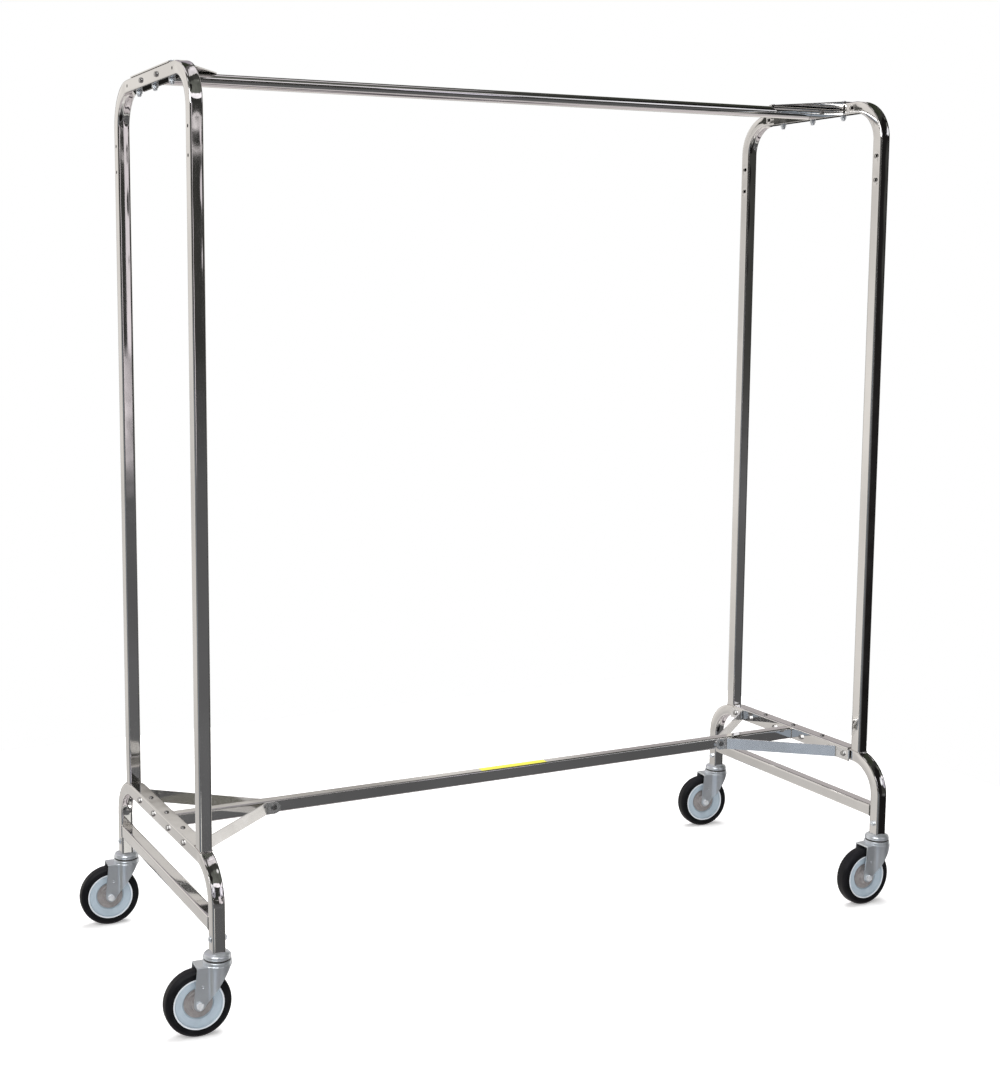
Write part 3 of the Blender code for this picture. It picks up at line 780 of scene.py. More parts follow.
def thread(low, high, radius):
    """The bare end of a shank, with its thread's crests as rings."""
    pitch = 0.8 * MM
    outline = [(0, high), (radius, high)]
    at = high
    while at - pitch > low:
        outline += [(radius - 0.35 * MM, at - pitch / 2), (radius, at - pitch)]
        at -= pitch
    outline += [(radius - 0.5 * MM, low), (0, low)]
    return turned(outline, 24, "thread")


def pan_head(radius, height, socket):
    """A low domed head with a hexagon socket."""
    outline = [
        (0, 0, 0),
        (radius, 0, 0.3 * MM),
        (radius, height * 0.35, 1.0 * MM),
        (radius * 0.62, height, 1.2 * MM),
        (0, height, 0),
    ]
    head = lathe(outline, 40, "pan_head")
    if not socket:
        return head
    return cut(head, [rod((0, 0, height), "Z", socket / math.sqrt(3), height, 6)])


def rail_bolt():
    """Pan head over the bracket, washer, shank through the bar, hexagon nut and dome below."""
    seat = FRAME_TOP + GAP + PLATE + GAP
    nut_top = FRAME_TOP - TUBE - GAP - seat
    nut_low = nut_top - 6 * MM
    dome = [
        (0, nut_low + 1 * MM, 0),
        (4.6 * MM, nut_low + 1 * MM, 0),
        (4.6 * MM, nut_low - 2.4 * MM, 1.5 * MM),
        (3.2 * MM, nut_low - 5.2 * MM, 1.6 * MM),
        (0, nut_low - 5.5 * MM, 0),
    ]
    parts = [
        shank(nut_low + 1 * MM, 0.5 * MM),
        washer(nut_top - 1.1 * MM, nut_top, 6.6 * MM),
        hexagon(11 * MM, nut_low, nut_top - 1 * MM),
        lathe(dome, 36, "dome", steps=5),
    ]
    return join(pan_head(5.5 * MM, 3.6 * MM, 3.0 * MM), parts), seat


def through_bolt(head, grip, washer_top, washer_radius, nut_width, nut_height):
    """A bolt with this head and a washer, through a grip, with a nut and a bare thread end."""
    parts = [
        washer(-0.05 * MM, washer_top, washer_radius),
        shank(-grip - 1 * MM, 0.5 * MM),
        hexagon(nut_width, -grip - nut_height, -grip),
        thread(-grip - 6 * MM, -grip - 1 * MM, THREAD),
    ]
    return join(head, parts)


def hexagon_bolt(grip, width):
    head = hexagon(width, 0.8 * MM, 3.6 * MM, "through_bolt")
    return through_bolt(head, grip, 0.9 * MM, width * 0.62, width, 4.4 * MM)


def stem_bolt():
    """The cross bolt that keeps the stem in the leg, with a pan head."""
    head = pan_head(5.5 * MM, 3.2 * MM, 3.0 * MM)
    return through_bolt(head, 2 * INNER_FACE, 0.8 * MM, 6.3 * MM, 10 * MM, 4.5 * MM)


def wall_screw(grip):
    """A pan screw that ends inside the tube it holds."""
    return join(pan_head(5.2 * MM, 2.6 * MM, 2.6 * MM), [thread(-grip, 0.5 * MM, THREAD)])


# ---- Welds ----


BEAD_SIDES = 10
BEAD_RADIUS = 0.85
BEAD_RIPPLE = 0.10
BEAD_RIPPLE_POINTS = 2.7
BEAD_UNEVENNESS = 0.06
BEAD_SPREAD = 1.15


def weld_ring(name, seed, drop=None):
    """A rippled bead round a square tube that ends at z = 0, the tube above it."""
    dice = random.Random(seed)
    outline = tube_section(TUBE + 0.6 * MM, TUBE_CORNER + 0.3 * MM, 16, 5)
    rings = []
    count = len(outline)
    for i, (x, y) in enumerate(outline):
        before = Vector(outline[i - 1])
        after = Vector(outline[(i + 1) % count])
        along = (after - before).normalized()
        out = Vector((along.y, -along.x))
        ripple = BEAD_RIPPLE * math.sin(i * TAU / BEAD_RIPPLE_POINTS)
        unevenness = dice.uniform(-BEAD_UNEVENNESS, BEAD_UNEVENNESS)
        radius = (BEAD_RADIUS + ripple + unevenness) * MM
        base = drop(y) if drop else 0.0
        ring = []
        for step in range(BEAD_SIDES):
            angle = step * TAU / BEAD_SIDES
            side = radius * math.cos(angle) * BEAD_SPREAD
            height = base + 0.3 * MM + radius * math.sin(angle)
            ring.append((x + out.x * side, y + out.y * side, height))
        rings.append(ring)
    return loft(rings, name, caps=False)


# ---- Build the frame ----


def local_side(end, y_sign):
    """An end frame's own side for a side of the rack: the right end is turned half round."""
    return y_sign if end == "left" else -y_sign


def put(end, name, mesh, finish, slot, spot=(0, 0, 0), turn=Matrix.Identity(4), **more):
    """Add a piece of an end frame, at a spot in that frame's own axes."""
    matrix = END_FRAME[end] @ Matrix.Translation(spot) @ turn
    add(f"{end}_{name}", mesh, finish, slot, matrix=matrix, **more)


def build_frame():
    rail = straight_tube(LEG_Y - HALF_TUBE - GAP, "Y", LOWER_RAIL_HEIGHT, "lower_rail")
    big_parts = [
        ("upper_bow", "tube", upper_bow(), 0.0),
        ("base_bow", "tube", base_bow(), 0.0),
        ("lower_rail", "tube", rail, 0.0),
        ("rail_bracket", "plate", rail_bracket(), 0.35 * MM),
        ("base_angle", "plate", base_angle(), 0.35 * MM),
    ]
    braces = {-1: brace(-1), 1: brace(1)}
    bolt, bolt_seat = rail_bolt()
    bracket_bolt = hexagon_bolt(PLATE_FACE + HALF_TUBE, 9 * MM)
    base_bolt = hexagon_bolt(PLATE_FACE + HALF_TUBE, 10 * MM)
    brace_bolt = hexagon_bolt(TUBE + 2 * GAP + 6 * MM, 10 * MM)
    tab_bolt = join(
        hexagon(10 * MM, 0.8 * MM, 4.2 * MM, "tab_bolt"),
        [washer(-0.05 * MM, 0.9 * MM, 6.4 * MM), thread(-9 * MM, 0.5 * MM, THREAD)],
    )
    screw = wall_screw(7 * MM)
    rivet = pan_head(4.6 * MM, 2.0 * MM, 0)
    outward = Matrix.Rotation(-math.pi / 2, 4, "Y")
    inward = Matrix.Rotation(math.pi / 2, 4, "Y")

    def foot_drop(y):
        return base_bow_surface(UPRIGHT_Y + y) - BASE_TOP

    for end in END_FRAME:
        for name, suffix, mesh, bevel in big_parts:
            own_node = [f"{end}_{name}"]
            put(end, f"{name}_{suffix}", mesh, CHROME, "chrome", replaces=own_node, bevel=bevel)
        for sign, where in ((-1, "front"), (1, "rear")):
            own = local_side(end, sign)
            bar = braces[own]
            own_node = [f"{end}_{where}_brace"]
            put(end, where + "_brace_bar", bar, SATIN, "chrome", replaces=own_node, bevel=0.5 * MM)
            spot = (BAR_END + 3 * MM, own * BRACE_BOLT_Y, BASE_BAR_HEIGHT)
            put(end, where + "_brace_tab_bolt", tab_bolt, NICKEL, "zinc", spot, inward)
            drop = foot_drop if own > 0 else lambda y: foot_drop(-y)
            bead = weld_ring("foot_weld", 3 + sign, drop)
            spot = (0, own * UPRIGHT_Y, BASE_TOP)
            put(end, where + "_upright_weld", bead, WELD, "chrome", spot)
            bead = weld_ring("rail_weld", 11 + sign)
            spot = (0, own * (LEG_Y - HALF_TUBE), LOWER_RAIL_HEIGHT)
            lean = Matrix.Rotation(own * math.pi / 2, 4, "X")
            put(end, where + "_lower_rail_weld", bead, WELD, "chrome", spot, lean)
            spot = (-HALF_TUBE, own * BRACKET_HOLES[1], TOP_BAR_HEIGHT)
            put(end, where + "_bracket_bolt", bracket_bolt, NICKEL, "zinc", spot, outward)
            for number, y in enumerate((BRACKET_HOLES[1], OUTER_HOLES[1]), 1):
                spot = (-HALF_TUBE, own * y, BASE_BAR_HEIGHT)
                put(end, f"{where}_base_bolt_{number}", base_bolt, NICKEL, "zinc", spot, outward)
        for sign, where in ((-1, "front"), (0, "middle"), (1, "rear")):
            y = local_side(end, sign) * VERTICAL_HOLES[2]
            own_node = [f"{end}_{where}_rail_bolt"]
            spot = (0, y, bolt_seat)
            put(end, where + "_rail_bolt_set", bolt, ZINC, "steel", spot, replaces=own_node)
            spot = (0, y, BASE_TOP + GAP + PLATE)
            put(end, where + "_base_screw", screw, NICKEL, "zinc", spot)
        bead = weld_ring("crossbar_weld", 29)
        put(end, "crossbar_weld", bead, WELD, "chrome", (PLATE_FACE, 0, BASE_BAR_HEIGHT), inward)
        put(end, "rail_rivet", rivet, CHROME, "chrome", (RIVET_X, 0, FRAME_TOP + GAP + PLATE))
        front = local_side(end, -1)
        spot = (BRACE_BOLT_X, front * (INNER_FACE + 3 * MM), BASE_BAR_HEIGHT)
        sideways = Matrix.Rotation(-front * math.pi / 2, 4, "X")
        put(end, "crossbar_bolt", brace_bolt, NICKEL, "zinc", spot, sideways)

    centre = Matrix.Translation(((END_X["left"] + END_X["right"]) / 2, 0, 0))
    for node, mesh in (("hang_rail", hang_rail()), ("base_crossbar", base_crossbar())):
        add(node + "_tube", mesh, CHROME, "chrome", matrix=centre, replaces=[node])


def build_label():
    """A plain yellow film strip on top of the crossbar."""
    low, high = -33 * MM, 129 * MM
    half_width = 9.0 * MM
    outline = [(low, -half_width), (high, -half_width), (high, half_width), (low, half_width)]
    outline = rounded(outline, 1.5 * MM, 5)
    film = flat_prism(outline, BASE_TOP + 0.02 * MM, BASE_TOP + 0.14 * MM, "label_film")
    add("crossbar_label", film, LABEL, "label")


# ---- Casters ----

WHEEL_RADIUS = 63.5 * MM
HALF_TYRE = 14.0 * MM
CORE_RADIUS = 48.0 * MM
TRAIL = 38.6 * MM
RACE_RADIUS = 28.0 * MM
CUP_RADIUS = 26.0 * MM
CROWN_TOP = 135.0 * MM
CROWN_PLATE = 3.0 * MM
RACE_TOP = 140.8 * MM
CUP_BOTTOM = 144.2 * MM
CUP_TOP = LEG_BOTTOM - GAP
KINGPIN = 6.0 * MM
FORK_HALF_WIDTH = 19.0 * MM
FORK_PLATE = 2.2 * MM
AXLE = 4.0 * MM
SLEEVE = 6.3 * MM
AXLE_NUT_WIDTH = 13.0 * MM


def tangent_angle(centre, radius, point, side):
    offset = Vector(point) - Vector(centre)
    return math.atan2(offset.y, offset.x) + side * math.acos(radius / offset.length)


def fork_plan(half_width, race_radius, front, height):
    """The fork seen from above: flat cheeks that flow back into the round race."""
    cheek_end = math.acos(-math.sqrt(1 - (half_width / race_radius) ** 2))
    blend_angle = 0.16
    points = [(front, -half_width)]
    points += rounded_join(half_width, race_radius, -1, cheek_end, blend_angle)
    points += arc((0, 0), race_radius, -cheek_end + blend_angle, cheek_end - blend_angle, 40)
    points += list(reversed(rounded_join(half_width, race_radius, 1, cheek_end, blend_angle)))
    points.append((front, half_width))
    return [(x, y, height) for x, y in points]


def rounded_join(half_width, race_radius, side, cheek_end, blend_angle):
    """A smooth curve from a cheek's flat into the race's arc."""
    corner = Vector((race_radius * math.cos(cheek_end), side * half_width))
    start = corner + Vector((-5 * MM, 0))
    angle = side * (cheek_end - blend_angle)
    end = Vector((race_radius * math.cos(angle), race_radius * math.sin(angle)))
    points = []
    for step in range(7):
        t = step / 7
        point = start * (1 - t) ** 2 + corner * 2 * t * (1 - t) + end * t * t
        points.append(tuple(point))
    return points


def fork_side():
    """The fork seen from the side: a crown that tapers down to a round end at the axle."""
    end_radius = 11 * MM
    axle = (-TRAIL, WHEEL_RADIUS)
    front_top = (-42.5 * MM, CROWN_TOP)
    rear_edge = (19.0 * MM, 130.0 * MM)
    above = CROWN_TOP + TUBE
    start = tangent_angle(axle, end_radius, front_top, 1)
    end = tangent_angle(axle, end_radius, rear_edge, -1)
    points = [(front_top[0], above), front_top]
    points += arc(axle, end_radius, start, end + TAU, 24)
    points += [rear_edge, (RACE_RADIUS + GAP, CROWN_TOP), (RACE_RADIUS + GAP, above)]
    return points


def fork():
    """A stamped fork: crown with a raised race, rounded shoulders, and two dimpled cheeks."""
    front = -60 * MM
    below = 40 * MM
    shoulder = 2.6 * MM
    outer = [fork_plan(FORK_HALF_WIDTH, RACE_RADIUS, front, below)]
    for step in range(7):
        angle = step / 6 * math.pi / 2
        inset = shoulder * (1 - math.cos(angle))
        height = CROWN_TOP - shoulder + shoulder * math.sin(angle)
        outer.append(fork_plan(FORK_HALF_WIDTH - inset, RACE_RADIUS - inset, front, height))
    inner_half = FORK_HALF_WIDTH - FORK_PLATE
    inner_race = RACE_RADIUS - FORK_PLATE
    inner = []
    for height in (below - TUBE, CROWN_TOP - CROWN_PLATE):
        inner.append(fork_plan(inner_half, inner_race, front - TUBE, height))
    side = side_prism(fork_side(), -TUBE * 2, TUBE * 2, "side")
    body = combine(cut(loft(outer, "fork"), [loft(inner, "hollow")]), [side], "INTERSECT")
    bore = KINGPIN + 2 * GAP
    raised = RACE_RADIUS - 1 * MM
    low = CROWN_TOP - CROWN_PLATE / 2
    race_outline = [
        (bore / 2, low, 0),
        (raised, low, 0),
        (raised, RACE_TOP, 2.6 * MM),
        (bore / 2, RACE_TOP, 0),
    ]
    race = lathe(race_outline, 72, "race", steps=6)
    dimple_y = FORK_HALF_WIDTH + 4.2 * MM
    dimples = [ball((-33 * MM, y, 98 * MM), 5.4 * MM) for y in (-dimple_y, dimple_y)]
    holes = [
        rod((0, 0, CROWN_TOP), "Z", bore, TUBE, 48),
        rod((-TRAIL, 0, WHEEL_RADIUS), "Y", AXLE + GAP, 4 * TUBE, 32),
    ]
    return cut(join(body, [race]), holes + dimples)


def race_cup():
    """The pressed upper race: a dome under the leg with a rolled lip."""
    bore = KINGPIN + GAP
    wall = CUP_RADIUS - 0.7 * MM
    outline = [
        (bore, CUP_TOP, 0),
        (CUP_RADIUS * 0.70, CUP_TOP, 2.0 * MM),
        (CUP_RADIUS * 0.92, CUP_TOP - 2.5 * MM, 3.0 * MM),
        (wall, CUP_TOP - 5.0 * MM, 2.0 * MM),
        (wall, CUP_BOTTOM + 2.2 * MM, 0.6 * MM),
        (CUP_RADIUS, CUP_BOTTOM + 1.7 * MM, 0.6 * MM),
        (CUP_RADIUS, CUP_BOTTOM, 0.6 * MM),
        (bore, CUP_BOTTOM, 0),
    ]
    return lathe(outline, 72, "race_cup")


def race_gap_shade_ring():
    """A near-black ring filling the gap between the two races: painted shade for the gap under the
    cup's lip.
    """
    low = RACE_TOP + 0.1 * MM
    high = CUP_BOTTOM - 0.1 * MM
    inner = KINGPIN + 1.5 * MM
    outer = CUP_RADIUS - 1.3 * MM
    waist = (outer - 0.6 * MM, (low + high) / 2)
    outline = [(inner, low), (outer, low), waist, (outer, high), (inner, high)]
    return turned(outline, 60, "race_gap_shade_ring")


def stem():
    """The square plug in the leg, with the kingpin and its riveted head below the crown."""
    plug_side = TUBE - 2 * TUBE_WALL - 2 * GAP
    head_top = CROWN_TOP - CROWN_PLATE - GAP
    head_low = 122.5 * MM
    section = tube_section(plug_side, 2.0 * MM, 1, 3)
    rings = []
    levels = ((LEG_BOTTOM, 0.94), (LEG_BOTTOM + 2 * MM, 1), (210 * MM, 1), (212 * MM, 0.94))
    for height, scale in levels:
        rings.append([(x * scale, y * scale, height) for x, y in section])
    body = loft(rings, "stem")
    pin_outline = [
        (0, LEG_BOTTOM + 5 * MM, 0),
        (KINGPIN, LEG_BOTTOM + 5 * MM, 0),
        (KINGPIN, head_top, 0),
        (8 * MM, head_top, 0.5 * MM),
        (8 * MM, head_low + 3 * MM, 1.5 * MM),
        (4.6 * MM, head_low, 1.5 * MM),
        (0, head_low, 0),
    ]
    pin = lathe(pin_outline, 48, "kingpin")
    hole = rod((0, 0, STEM_BOLT_HEIGHT), "X", CLEARANCE_HOLE, 2 * TUBE)
    return cut(join(body, [pin]), [hole])


def mirrored(half):
    """Close a turned outline by repeating its points on the other side of the middle."""
    other = []
    for point in reversed(half):
        other.append((point[0], -point[1]) + tuple(point[2:]))
    return half + other


def tyre():
    """The solid tread: a slightly crowned face, round shoulders and a raised sidewall ring."""
    half = [
        (CORE_RADIUS + GAP, HALF_TYRE - GAP, 0.3 * MM),
        (50.5 * MM, HALF_TYRE - GAP, 0.4 * MM),
        (51.3 * MM, HALF_TYRE - 0.05 * MM, 0.4 * MM),
        (57.5 * MM, HALF_TYRE, 2.0 * MM),
        (61.6 * MM, HALF_TYRE - 2.6 * MM, 2.6 * MM),
        (63.2 * MM, HALF_TYRE - 6.5 * MM, 3.0 * MM),
        (WHEEL_RADIUS, 1.0 * MM, 0),
    ]
    return laid(lathe(mirrored(half), 120, "tyre", steps=5), "Y")


def wheel_core():
    """The moulded core: bored hub, thin web, sloping side and rim lip."""
    half = [
        (SLEEVE + 0.1 * MM, 16 * MM, 0.5 * MM),
        (12 * MM, 16 * MM, 0.7 * MM),
        (13 * MM, 5.6 * MM, 1.2 * MM),
        (28.2 * MM, 5.6 * MM, 1.0 * MM),
        (30.0 * MM, 8.4 * MM, 1.6 * MM),
        (43.6 * MM, 10.4 * MM, 1.2 * MM),
        (45.2 * MM, 13.4 * MM, 0.8 * MM),
        (46.0 * MM, HALF_TYRE, 0.5 * MM),
        (CORE_RADIUS, HALF_TYRE, 0.4 * MM),
    ]
    mesh = lathe(mirrored(half), 96, "wheel_core")
    # Faces out past the lip radius take the second, lighter finish: a painted highlight on the rim
    # lip.
    lip = 45.0 * MM
    for face in mesh.polygons:
        centre = face.center
        face.material_index = int(math.hypot(centre.x, centre.y) > lip)
    return laid(mesh, "Y")


def hub_plate():
    """The pressed plate over each side of the hub: a flat ring, a step, and a raised boss."""
    outline = [
        (7.2, 16.1, 0.1),
        (12.4, 16.1, 0.1),
        (13.6, 5.9, 0.3),
        (27.6, 5.9, 0.3),
        (27.6, 6.7, 0.3),
        (22.5, 6.7, 0.5),
        (21.0, 7.7, 0.5),
        (15.6, 7.7, 1.0),
        (13.4, 16.5, 0.8),
        (7.2, 16.5, 0.1),
    ]
    outline = [tuple(number * MM for number in corner) for corner in outline]
    return laid(lathe(outline, 72, "hub_plate", steps=3), "Y")


def axle_sleeve():
    half_length = FORK_HALF_WIDTH - FORK_PLATE - GAP
    half = [(AXLE + GAP, half_length), (SLEEVE, half_length)]
    return laid(lathe(mirrored(half), 40, "axle_sleeve", 0.4 * MM, 3), "Y")


def axle_bolt():
    """Hexagon head to the front, with its pressed washer face, and a threaded end to the rear."""
    seat = FORK_HALF_WIDTH + GAP
    end = FORK_HALF_WIDTH + 8.5 * MM
    head = hexagon(AXLE_NUT_WIDTH, -seat - 4.8 * MM, -seat - 0.6 * MM, "axle_bolt")
    parts = [
        washer(-seat - 0.8 * MM, -seat, 6.2 * MM),
        shank(-seat - 2 * MM, FORK_HALF_WIDTH - 2 * MM, AXLE),
    ]
    tip = thread(-end, -(FORK_HALF_WIDTH - 3 * MM), AXLE)
    tip.transform(Matrix.Rotation(math.pi, 4, "X"))
    parts.append(tip)
    return laid(join(head, parts), "Y")


def axle_nut():
    low = FORK_HALF_WIDTH + GAP
    nut = hexagon(AXLE_NUT_WIDTH, low, low + 5.0 * MM, "axle_nut")
    base, top = low + 4 * MM, low + 6 * MM
    outline = [(0, base, 0), (5.4 * MM, base, 0), (5.4 * MM, top, 0.8 * MM), (0, top, 0)]
    collar = lathe(outline, 36, "collar", steps=3)
    bore = rod((0, 0, low), "Z", AXLE + 0.15 * MM, TUBE, 32)
    return laid(cut(join(nut, [collar]), [bore]), "Y")


def build_casters():
    fixed = {
        "stem": (stem(), STEEL, "steel", "plug"),
        "race_cup": (race_cup(), ZINC, "zinc", "dome"),
    }
    on_wheel = {
        "wheel_core": (wheel_core(), (PLASTIC, LIP_PAINTED_HIGHLIGHT), "core_plastic", "moulding"),
        "tyre": (tyre(), RUBBER, "rubber", "tread"),
    }
    on_fork = {
        "axle_sleeve": (axle_sleeve(), STEEL, "steel", "tube"),
        "axle_bolt": (axle_bolt(), ZINC_PAINTED_HIGHLIGHT, "zinc", "hexagon"),
        "axle_nut": (axle_nut(), ZINC_PAINTED_HIGHLIGHT, "zinc", "hexagon"),
    }
    fork_mesh = fork()
    race_gap_shade = race_gap_shade_ring()
    plate = hub_plate()
    bolt = stem_bolt()
    outward = Matrix.Rotation(-math.pi / 2, 4, "Y")
    half_turn = Matrix.Rotation(math.pi, 4, "Z")
    joints = {joint["name"]: joint for joint in frame["joints"]}
    for where in ("front_left", "rear_left", "front_right", "rear_right"):
        roll = joints[where + "_wheel_roll"]
        yaw = math.atan2(-roll["axis"][0], roll["axis"][1])
        leg_place = Vector(joints[where + "_swivel_turn"]["pos_m"])
        leg = Matrix.Translation((leg_place.x, leg_place.y, 0))
        swivel = leg @ Matrix.Rotation(yaw, 4, "Z")
        axle = Matrix.Translation(roll["pos_m"]) @ Matrix.Rotation(yaw, 4, "Z")
        for name, (mesh, finish, slot, suffix) in fixed.items():
            node = f"{where}_{name}"
            add(f"{node}_{suffix}", mesh, finish, slot, "frame", leg, [node])
        turn = half_turn if where.endswith("right") else Matrix.Identity(4)
        bolt_place = leg @ turn @ Matrix.Translation((-INNER_FACE, 0, STEM_BOLT_HEIGHT)) @ outward
        node = where + "_stem_bolt"
        add(node + "_set", bolt, ZINC, "zinc", "frame", bolt_place, [node])
        add(where + "_race_gap_shade_ring", race_gap_shade, RACE_GAP_SHADE, "rubber", "frame", leg)
        body = where + "_swivel"
        add(where + "_fork_pressing", fork_mesh, ZINC, "zinc", body, swivel, [where + "_fork"])
        for name, (mesh, finish, slot, suffix) in on_fork.items():
            node = f"{where}_{name}"
            add(f"{node}_{suffix}", mesh, finish, slot, body, axle, [node])
        body = where + "_wheel"
        for name, (mesh, finish, slot, suffix) in on_wheel.items():
            node = f"{where}_{name}"
            add(f"{node}_{suffix}", mesh, finish, slot, body, axle, [node])
        for face, flip in (("front", half_turn), ("rear", Matrix.Identity(4))):
            add(f"{where}_hub_plate_{face}", plate, HUB_PLATE, "steel", body, axle @ flip)


# ---- Studio ----


def math_node(tree, operation, first, second=0.0):
    return make_node(tree, "ShaderNodeMath", {0: first, 1: second}, operation=operation).outputs[0]


def patch(tree, around, above, shape, azimuth, elevation, half_width, half_height, soft):
    """One inside a panel of the studio, easing to zero over its soft edge."""
    turn = math_node(tree, "SUBTRACT", around, azimuth)
    limits = {0: turn, 1: 180.0, 2: -180.0}
    turn = make_node(tree, "ShaderNodeMath", limits, operation="WRAP").outputs[0]
    across = math_node(tree, "DIVIDE", math_node(tree, "ABSOLUTE", turn), half_width)
    rise = math_node(tree, "ABSOLUTE", math_node(tree, "SUBTRACT", above, elevation))
    up = math_node(tree, "DIVIDE", rise, half_height)
    if shape == "box":
        far = math_node(tree, "MAXIMUM", across, up)
    else:
        squares = [math_node(tree, "POWER", part, 2.0) for part in (across, up)]
        far = math_node(tree, "SQRT", math_node(tree, "ADD", *squares))
    inputs = {"Value": far, "From Min": 1.0 + soft, "From Max": 1.0, "To Min": 0.0, "To Max": 1.0}
    ease = make_node(tree, "ShaderNodeMapRange", inputs, interpolation_type="SMOOTHSTEP")
    return ease.outputs["Result"]


# What the chrome mirrors: the studio's panels, each with its shape, its azimuth from the front
# towards the right, its elevation and its half sizes in degrees, the share of its size over which
# its edge fades, and its colour.
PANELS = [
    ("box", 180, 67, 86, 14, 0.25, (0.78, 0.74, 0.77)),
    ("box", 150, 37, 45, 12, 0.30, (0.42, 0.38, 0.43)),
    ("box", 101, 41, 52, 19, 0.12, (0.035, 0.040, 0.028)),
    ("box", 0, 0, 78, 95, 0.12, (0.045, 0.045, 0.042)),
    ("box", 10, -22, 52, 14, 0.50, (0.115, 0.115, 0.118)),
    ("oval", 26, 51, 26, 16, 0.30, (0.13, 0.135, 0.12)),
    ("box", 56, 8, 14, 40, 0.10, (0.012, 0.011, 0.011)),
    ("box", -39, -15, 9, 12, 0.40, (0.42, 0.48, 0.56)),
    ("box", -60, -16, 9, 14, 0.40, (0.10, 0.093, 0.070)),
    ("box", 0, -74, 181, 24, 0.25, (0.66, 0.61, 0.62)),
    ("box", 0, -62, 90, 2.5, 0.80, (0.08, 0.07, 0.08)),
    ("box", 152, -8, 22, 8, 0.35, (0.012, 0.012, 0.011)),
    ("box", 164, 12, 7, 4.2, 0.70, (0.20, 0.185, 0.17)),
    ("box", 139, 15, 7, 4, 0.50, (0.45, 0.42, 0.42)),
    ("box", -136, -22, 5, 3, 0.90, (0.50, 0.49, 0.46)),
    ("box", -150, -22, 30, 5, 0.80, (0.62, 0.60, 0.58)),
    ("box", 165, 58, 45, 3, 0.60, (0.16, 0.15, 0.15)),
    ("oval", 20, 33, 15, 5, 0.25, (1.15, 1.1, 1.15)),
    ("oval", 38, 23, 5, 8, 0.30, (1.1, 1.1, 1.15)),
    ("oval", 4, 21, 2.5, 9, 0.40, (1.1, 1.05, 1.15)),
    ("oval", -14, 30, 3, 18, 0.40, (0.9, 0.88, 0.95)),
    ("oval", -34, 42, 4, 24, 0.40, (0.7, 0.68, 0.72)),
    ("oval", -10, 68, 20, 5, 0.40, (0.9, 0.9, 0.9)),
    ("box", 14.6, 3, 1.6, 7.5, 0.40, (0.95, 0.88, 0.92)),
    ("oval", 29, 18, 1.6, 8, 0.40, (1.1, 1.05, 1.2)),
    ("oval", 10, 17, 1.3, 7, 0.40, (1.1, 1.05, 1.2)),
    ("box", 0, -43, 90, 1.2, 0.80, (0.70, 0.70, 0.68)),
    ("box", -97, 12, 5, 40, 0.60, (0.10, 0.10, 0.09)),
    ("box", 90, -2, 4, 28, 0.60, (0.13, 0.13, 0.125)),
    ("box", 181, -8, 8, 18, 0.30, (0.10, 0.10, 0.105)),
    ("box", -118, 30, 4, 25, 0.80, (0.20, 0.18, 0.18)),
    ("box", 17, 5.2, 5, 0.16, 0.90, (0.85, 0.80, 0.81)),
    ("box", 14.5, -20.5, 2.2, 2.2, 0.30, (0.80, 0.79, 0.76)),
    ("box", -140.4, 5.8, 1.15, 0.6, 0.30, (0.05, 0.05, 0.045)),
]


def build_world():
    """A white studio whose camera side is dark, for the chrome to mirror."""
    world = bpy.data.worlds.new("studio")
    bpy.context.scene.world = world
    world.use_nodes = True
    tree = world.node_tree
    tree.nodes.clear()
    direction = tree.nodes.new("ShaderNodeTexCoord").outputs["Generated"]
    axes = make_node(tree, "ShaderNodeSeparateXYZ", {0: direction}).outputs
    degree = 180 / math.pi
    front = math_node(tree, "MULTIPLY", axes["Y"], -1.0)
    around = math_node(tree, "MULTIPLY", math_node(tree, "ARCTAN2", axes["X"], front), degree)
    above = math_node(tree, "MULTIPLY", math_node(tree, "ARCSINE", axes["Z"]), degree)
    sky = blend_colours(tree, 0.0, (0.80, 0.77, 0.735), (1.0, 1.0, 1.0))
    for *panel, colour in PANELS:
        sky = blend_colours(tree, patch(tree, around, above, *panel), sky, colour)
    clutter = spread(tree, noise(tree, direction, 3.5, 3.0), 0.62, 1.25, 0.3, 0.7)
    room = make_node(tree, "ShaderNodeVectorMath", {0: sky}, operation="SCALE")
    tree.links.new(clutter, room.inputs["Scale"])
    seen = tree.nodes.new("ShaderNodeLightPath").outputs["Is Camera Ray"]
    colour = blend_colours(tree, seen, room.outputs["Vector"], (1.0, 1.0, 1.0))
    background = make_node(tree, "ShaderNodeBackground", {"Color": colour, "Strength": 1.0})
    output = tree.nodes.new("ShaderNodeOutputWorld")
    tree.links.new(background.outputs["Background"], output.inputs["Surface"])


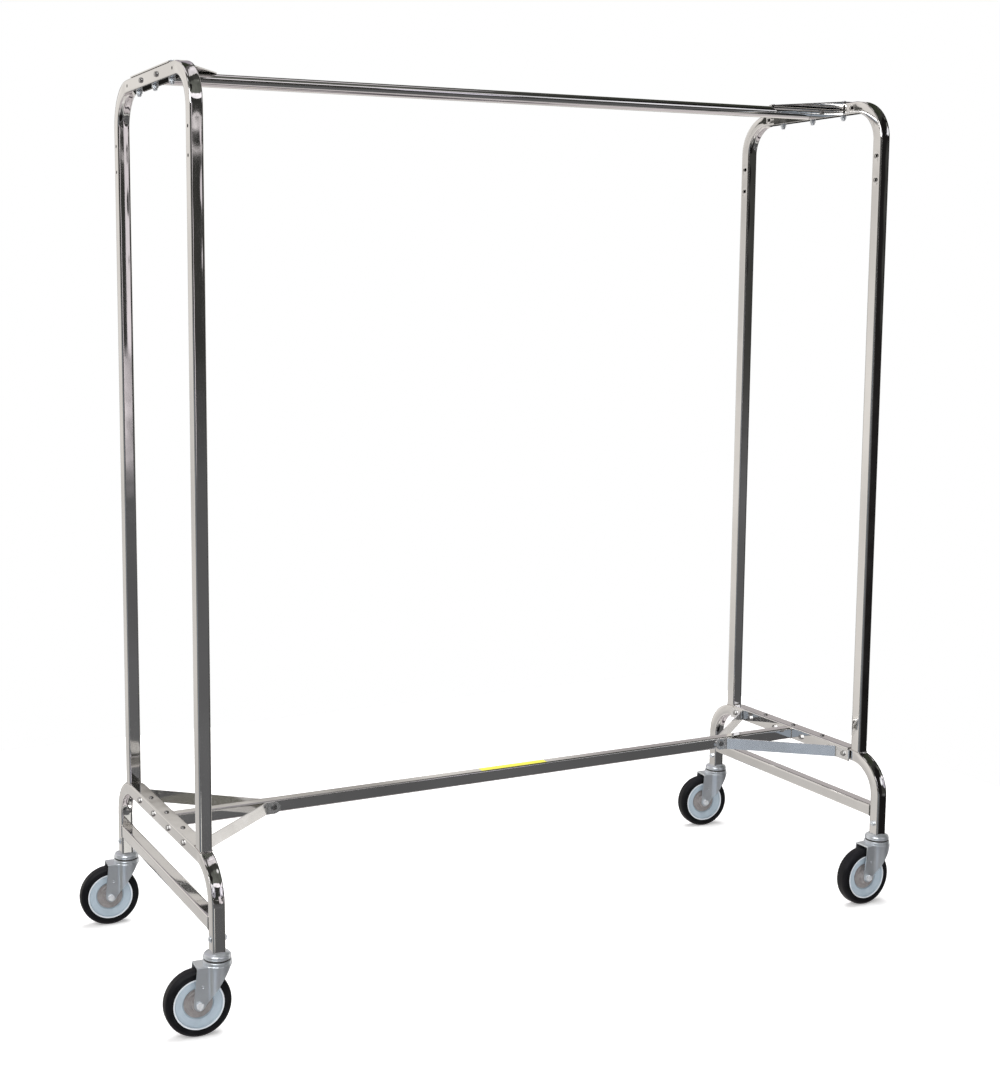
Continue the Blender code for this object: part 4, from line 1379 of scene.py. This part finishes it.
def area_light(name, place, target, size, power):
    data = bpy.data.lights.new(name, "AREA")
    data.shape = "RECTANGLE"
    data.size, data.size_y = size
    data.energy = power
    lamp = new_object(name, data)
    lamp.location = place
    lamp.rotation_euler = (Vector(target) - Vector(place)).to_track_quat("-Z", "Y").to_euler()
    lamp.visible_camera = False
    return lamp


def build_studio():
    build_world()
    area_light("key", (-2.6, -2.4, 3.4), (0, 0, 0.7), (3.0, 2.4), 90)
    top = area_light("top", (0.3, 0.4, 4.2), (0.1, 0, 0.6), (3.0, 3.0), 180)
    top.visible_glossy = False
    bm = bmesh.new()
    bmesh.ops.create_grid(bm, x_segments=1, y_segments=1, size=1.7)
    floor = new_object("floor", finish_mesh(bm, "floor"))
    made, tree, shader, place = start_material("floor", 0.0, 0.0)
    clouds = noise(tree, place, 0.6)
    colour = blend_colours(tree, clouds, (0.93, 0.93, 0.93), (0.95, 0.95, 0.95))
    tree.links.new(colour, shader.inputs["Base Color"])
    shader.inputs["Roughness"].default_value = 0.9
    shader.inputs["Emission Color"].default_value = (1, 1, 1, 1)
    shader.inputs["Emission Strength"].default_value = 0.35
    floor.data.materials.append(made)
    floor.visible_glossy = False
    bpy.context.scene.view_settings.view_transform = "Standard"


def build_camera():
    """A camera at eye height, before the rack's left end."""
    place = Vector((-1.679787, -2.978973, 1.352479))
    yaw = math.radians(24.564)
    pitch = math.radians(6.921)
    roll = math.radians(-0.048)
    data = bpy.data.cameras.new("camera")
    data.sensor_width = 36.0
    data.lens = 53.513155
    data.shift_x = 0.1288
    data.shift_y = -0.0512
    camera = new_object("camera", data)
    level = Vector((math.cos(yaw), -math.sin(yaw), 0))
    forward = Vector((math.sin(yaw), math.cos(yaw), 0))
    ahead = forward * math.cos(pitch) - Vector((0, 0, math.sin(pitch)))
    above = level.cross(ahead)
    right = level * math.cos(roll) + above * math.sin(roll)
    up = above * math.cos(roll) - level * math.sin(roll)
    turn = Matrix((right, up, -ahead)).transposed()
    camera.matrix_world = Matrix.Translation(place) @ turn.to_4x4()
    bpy.context.scene.camera = camera


build_studio()
build_camera()
build_frame()
build_label()
build_casters()
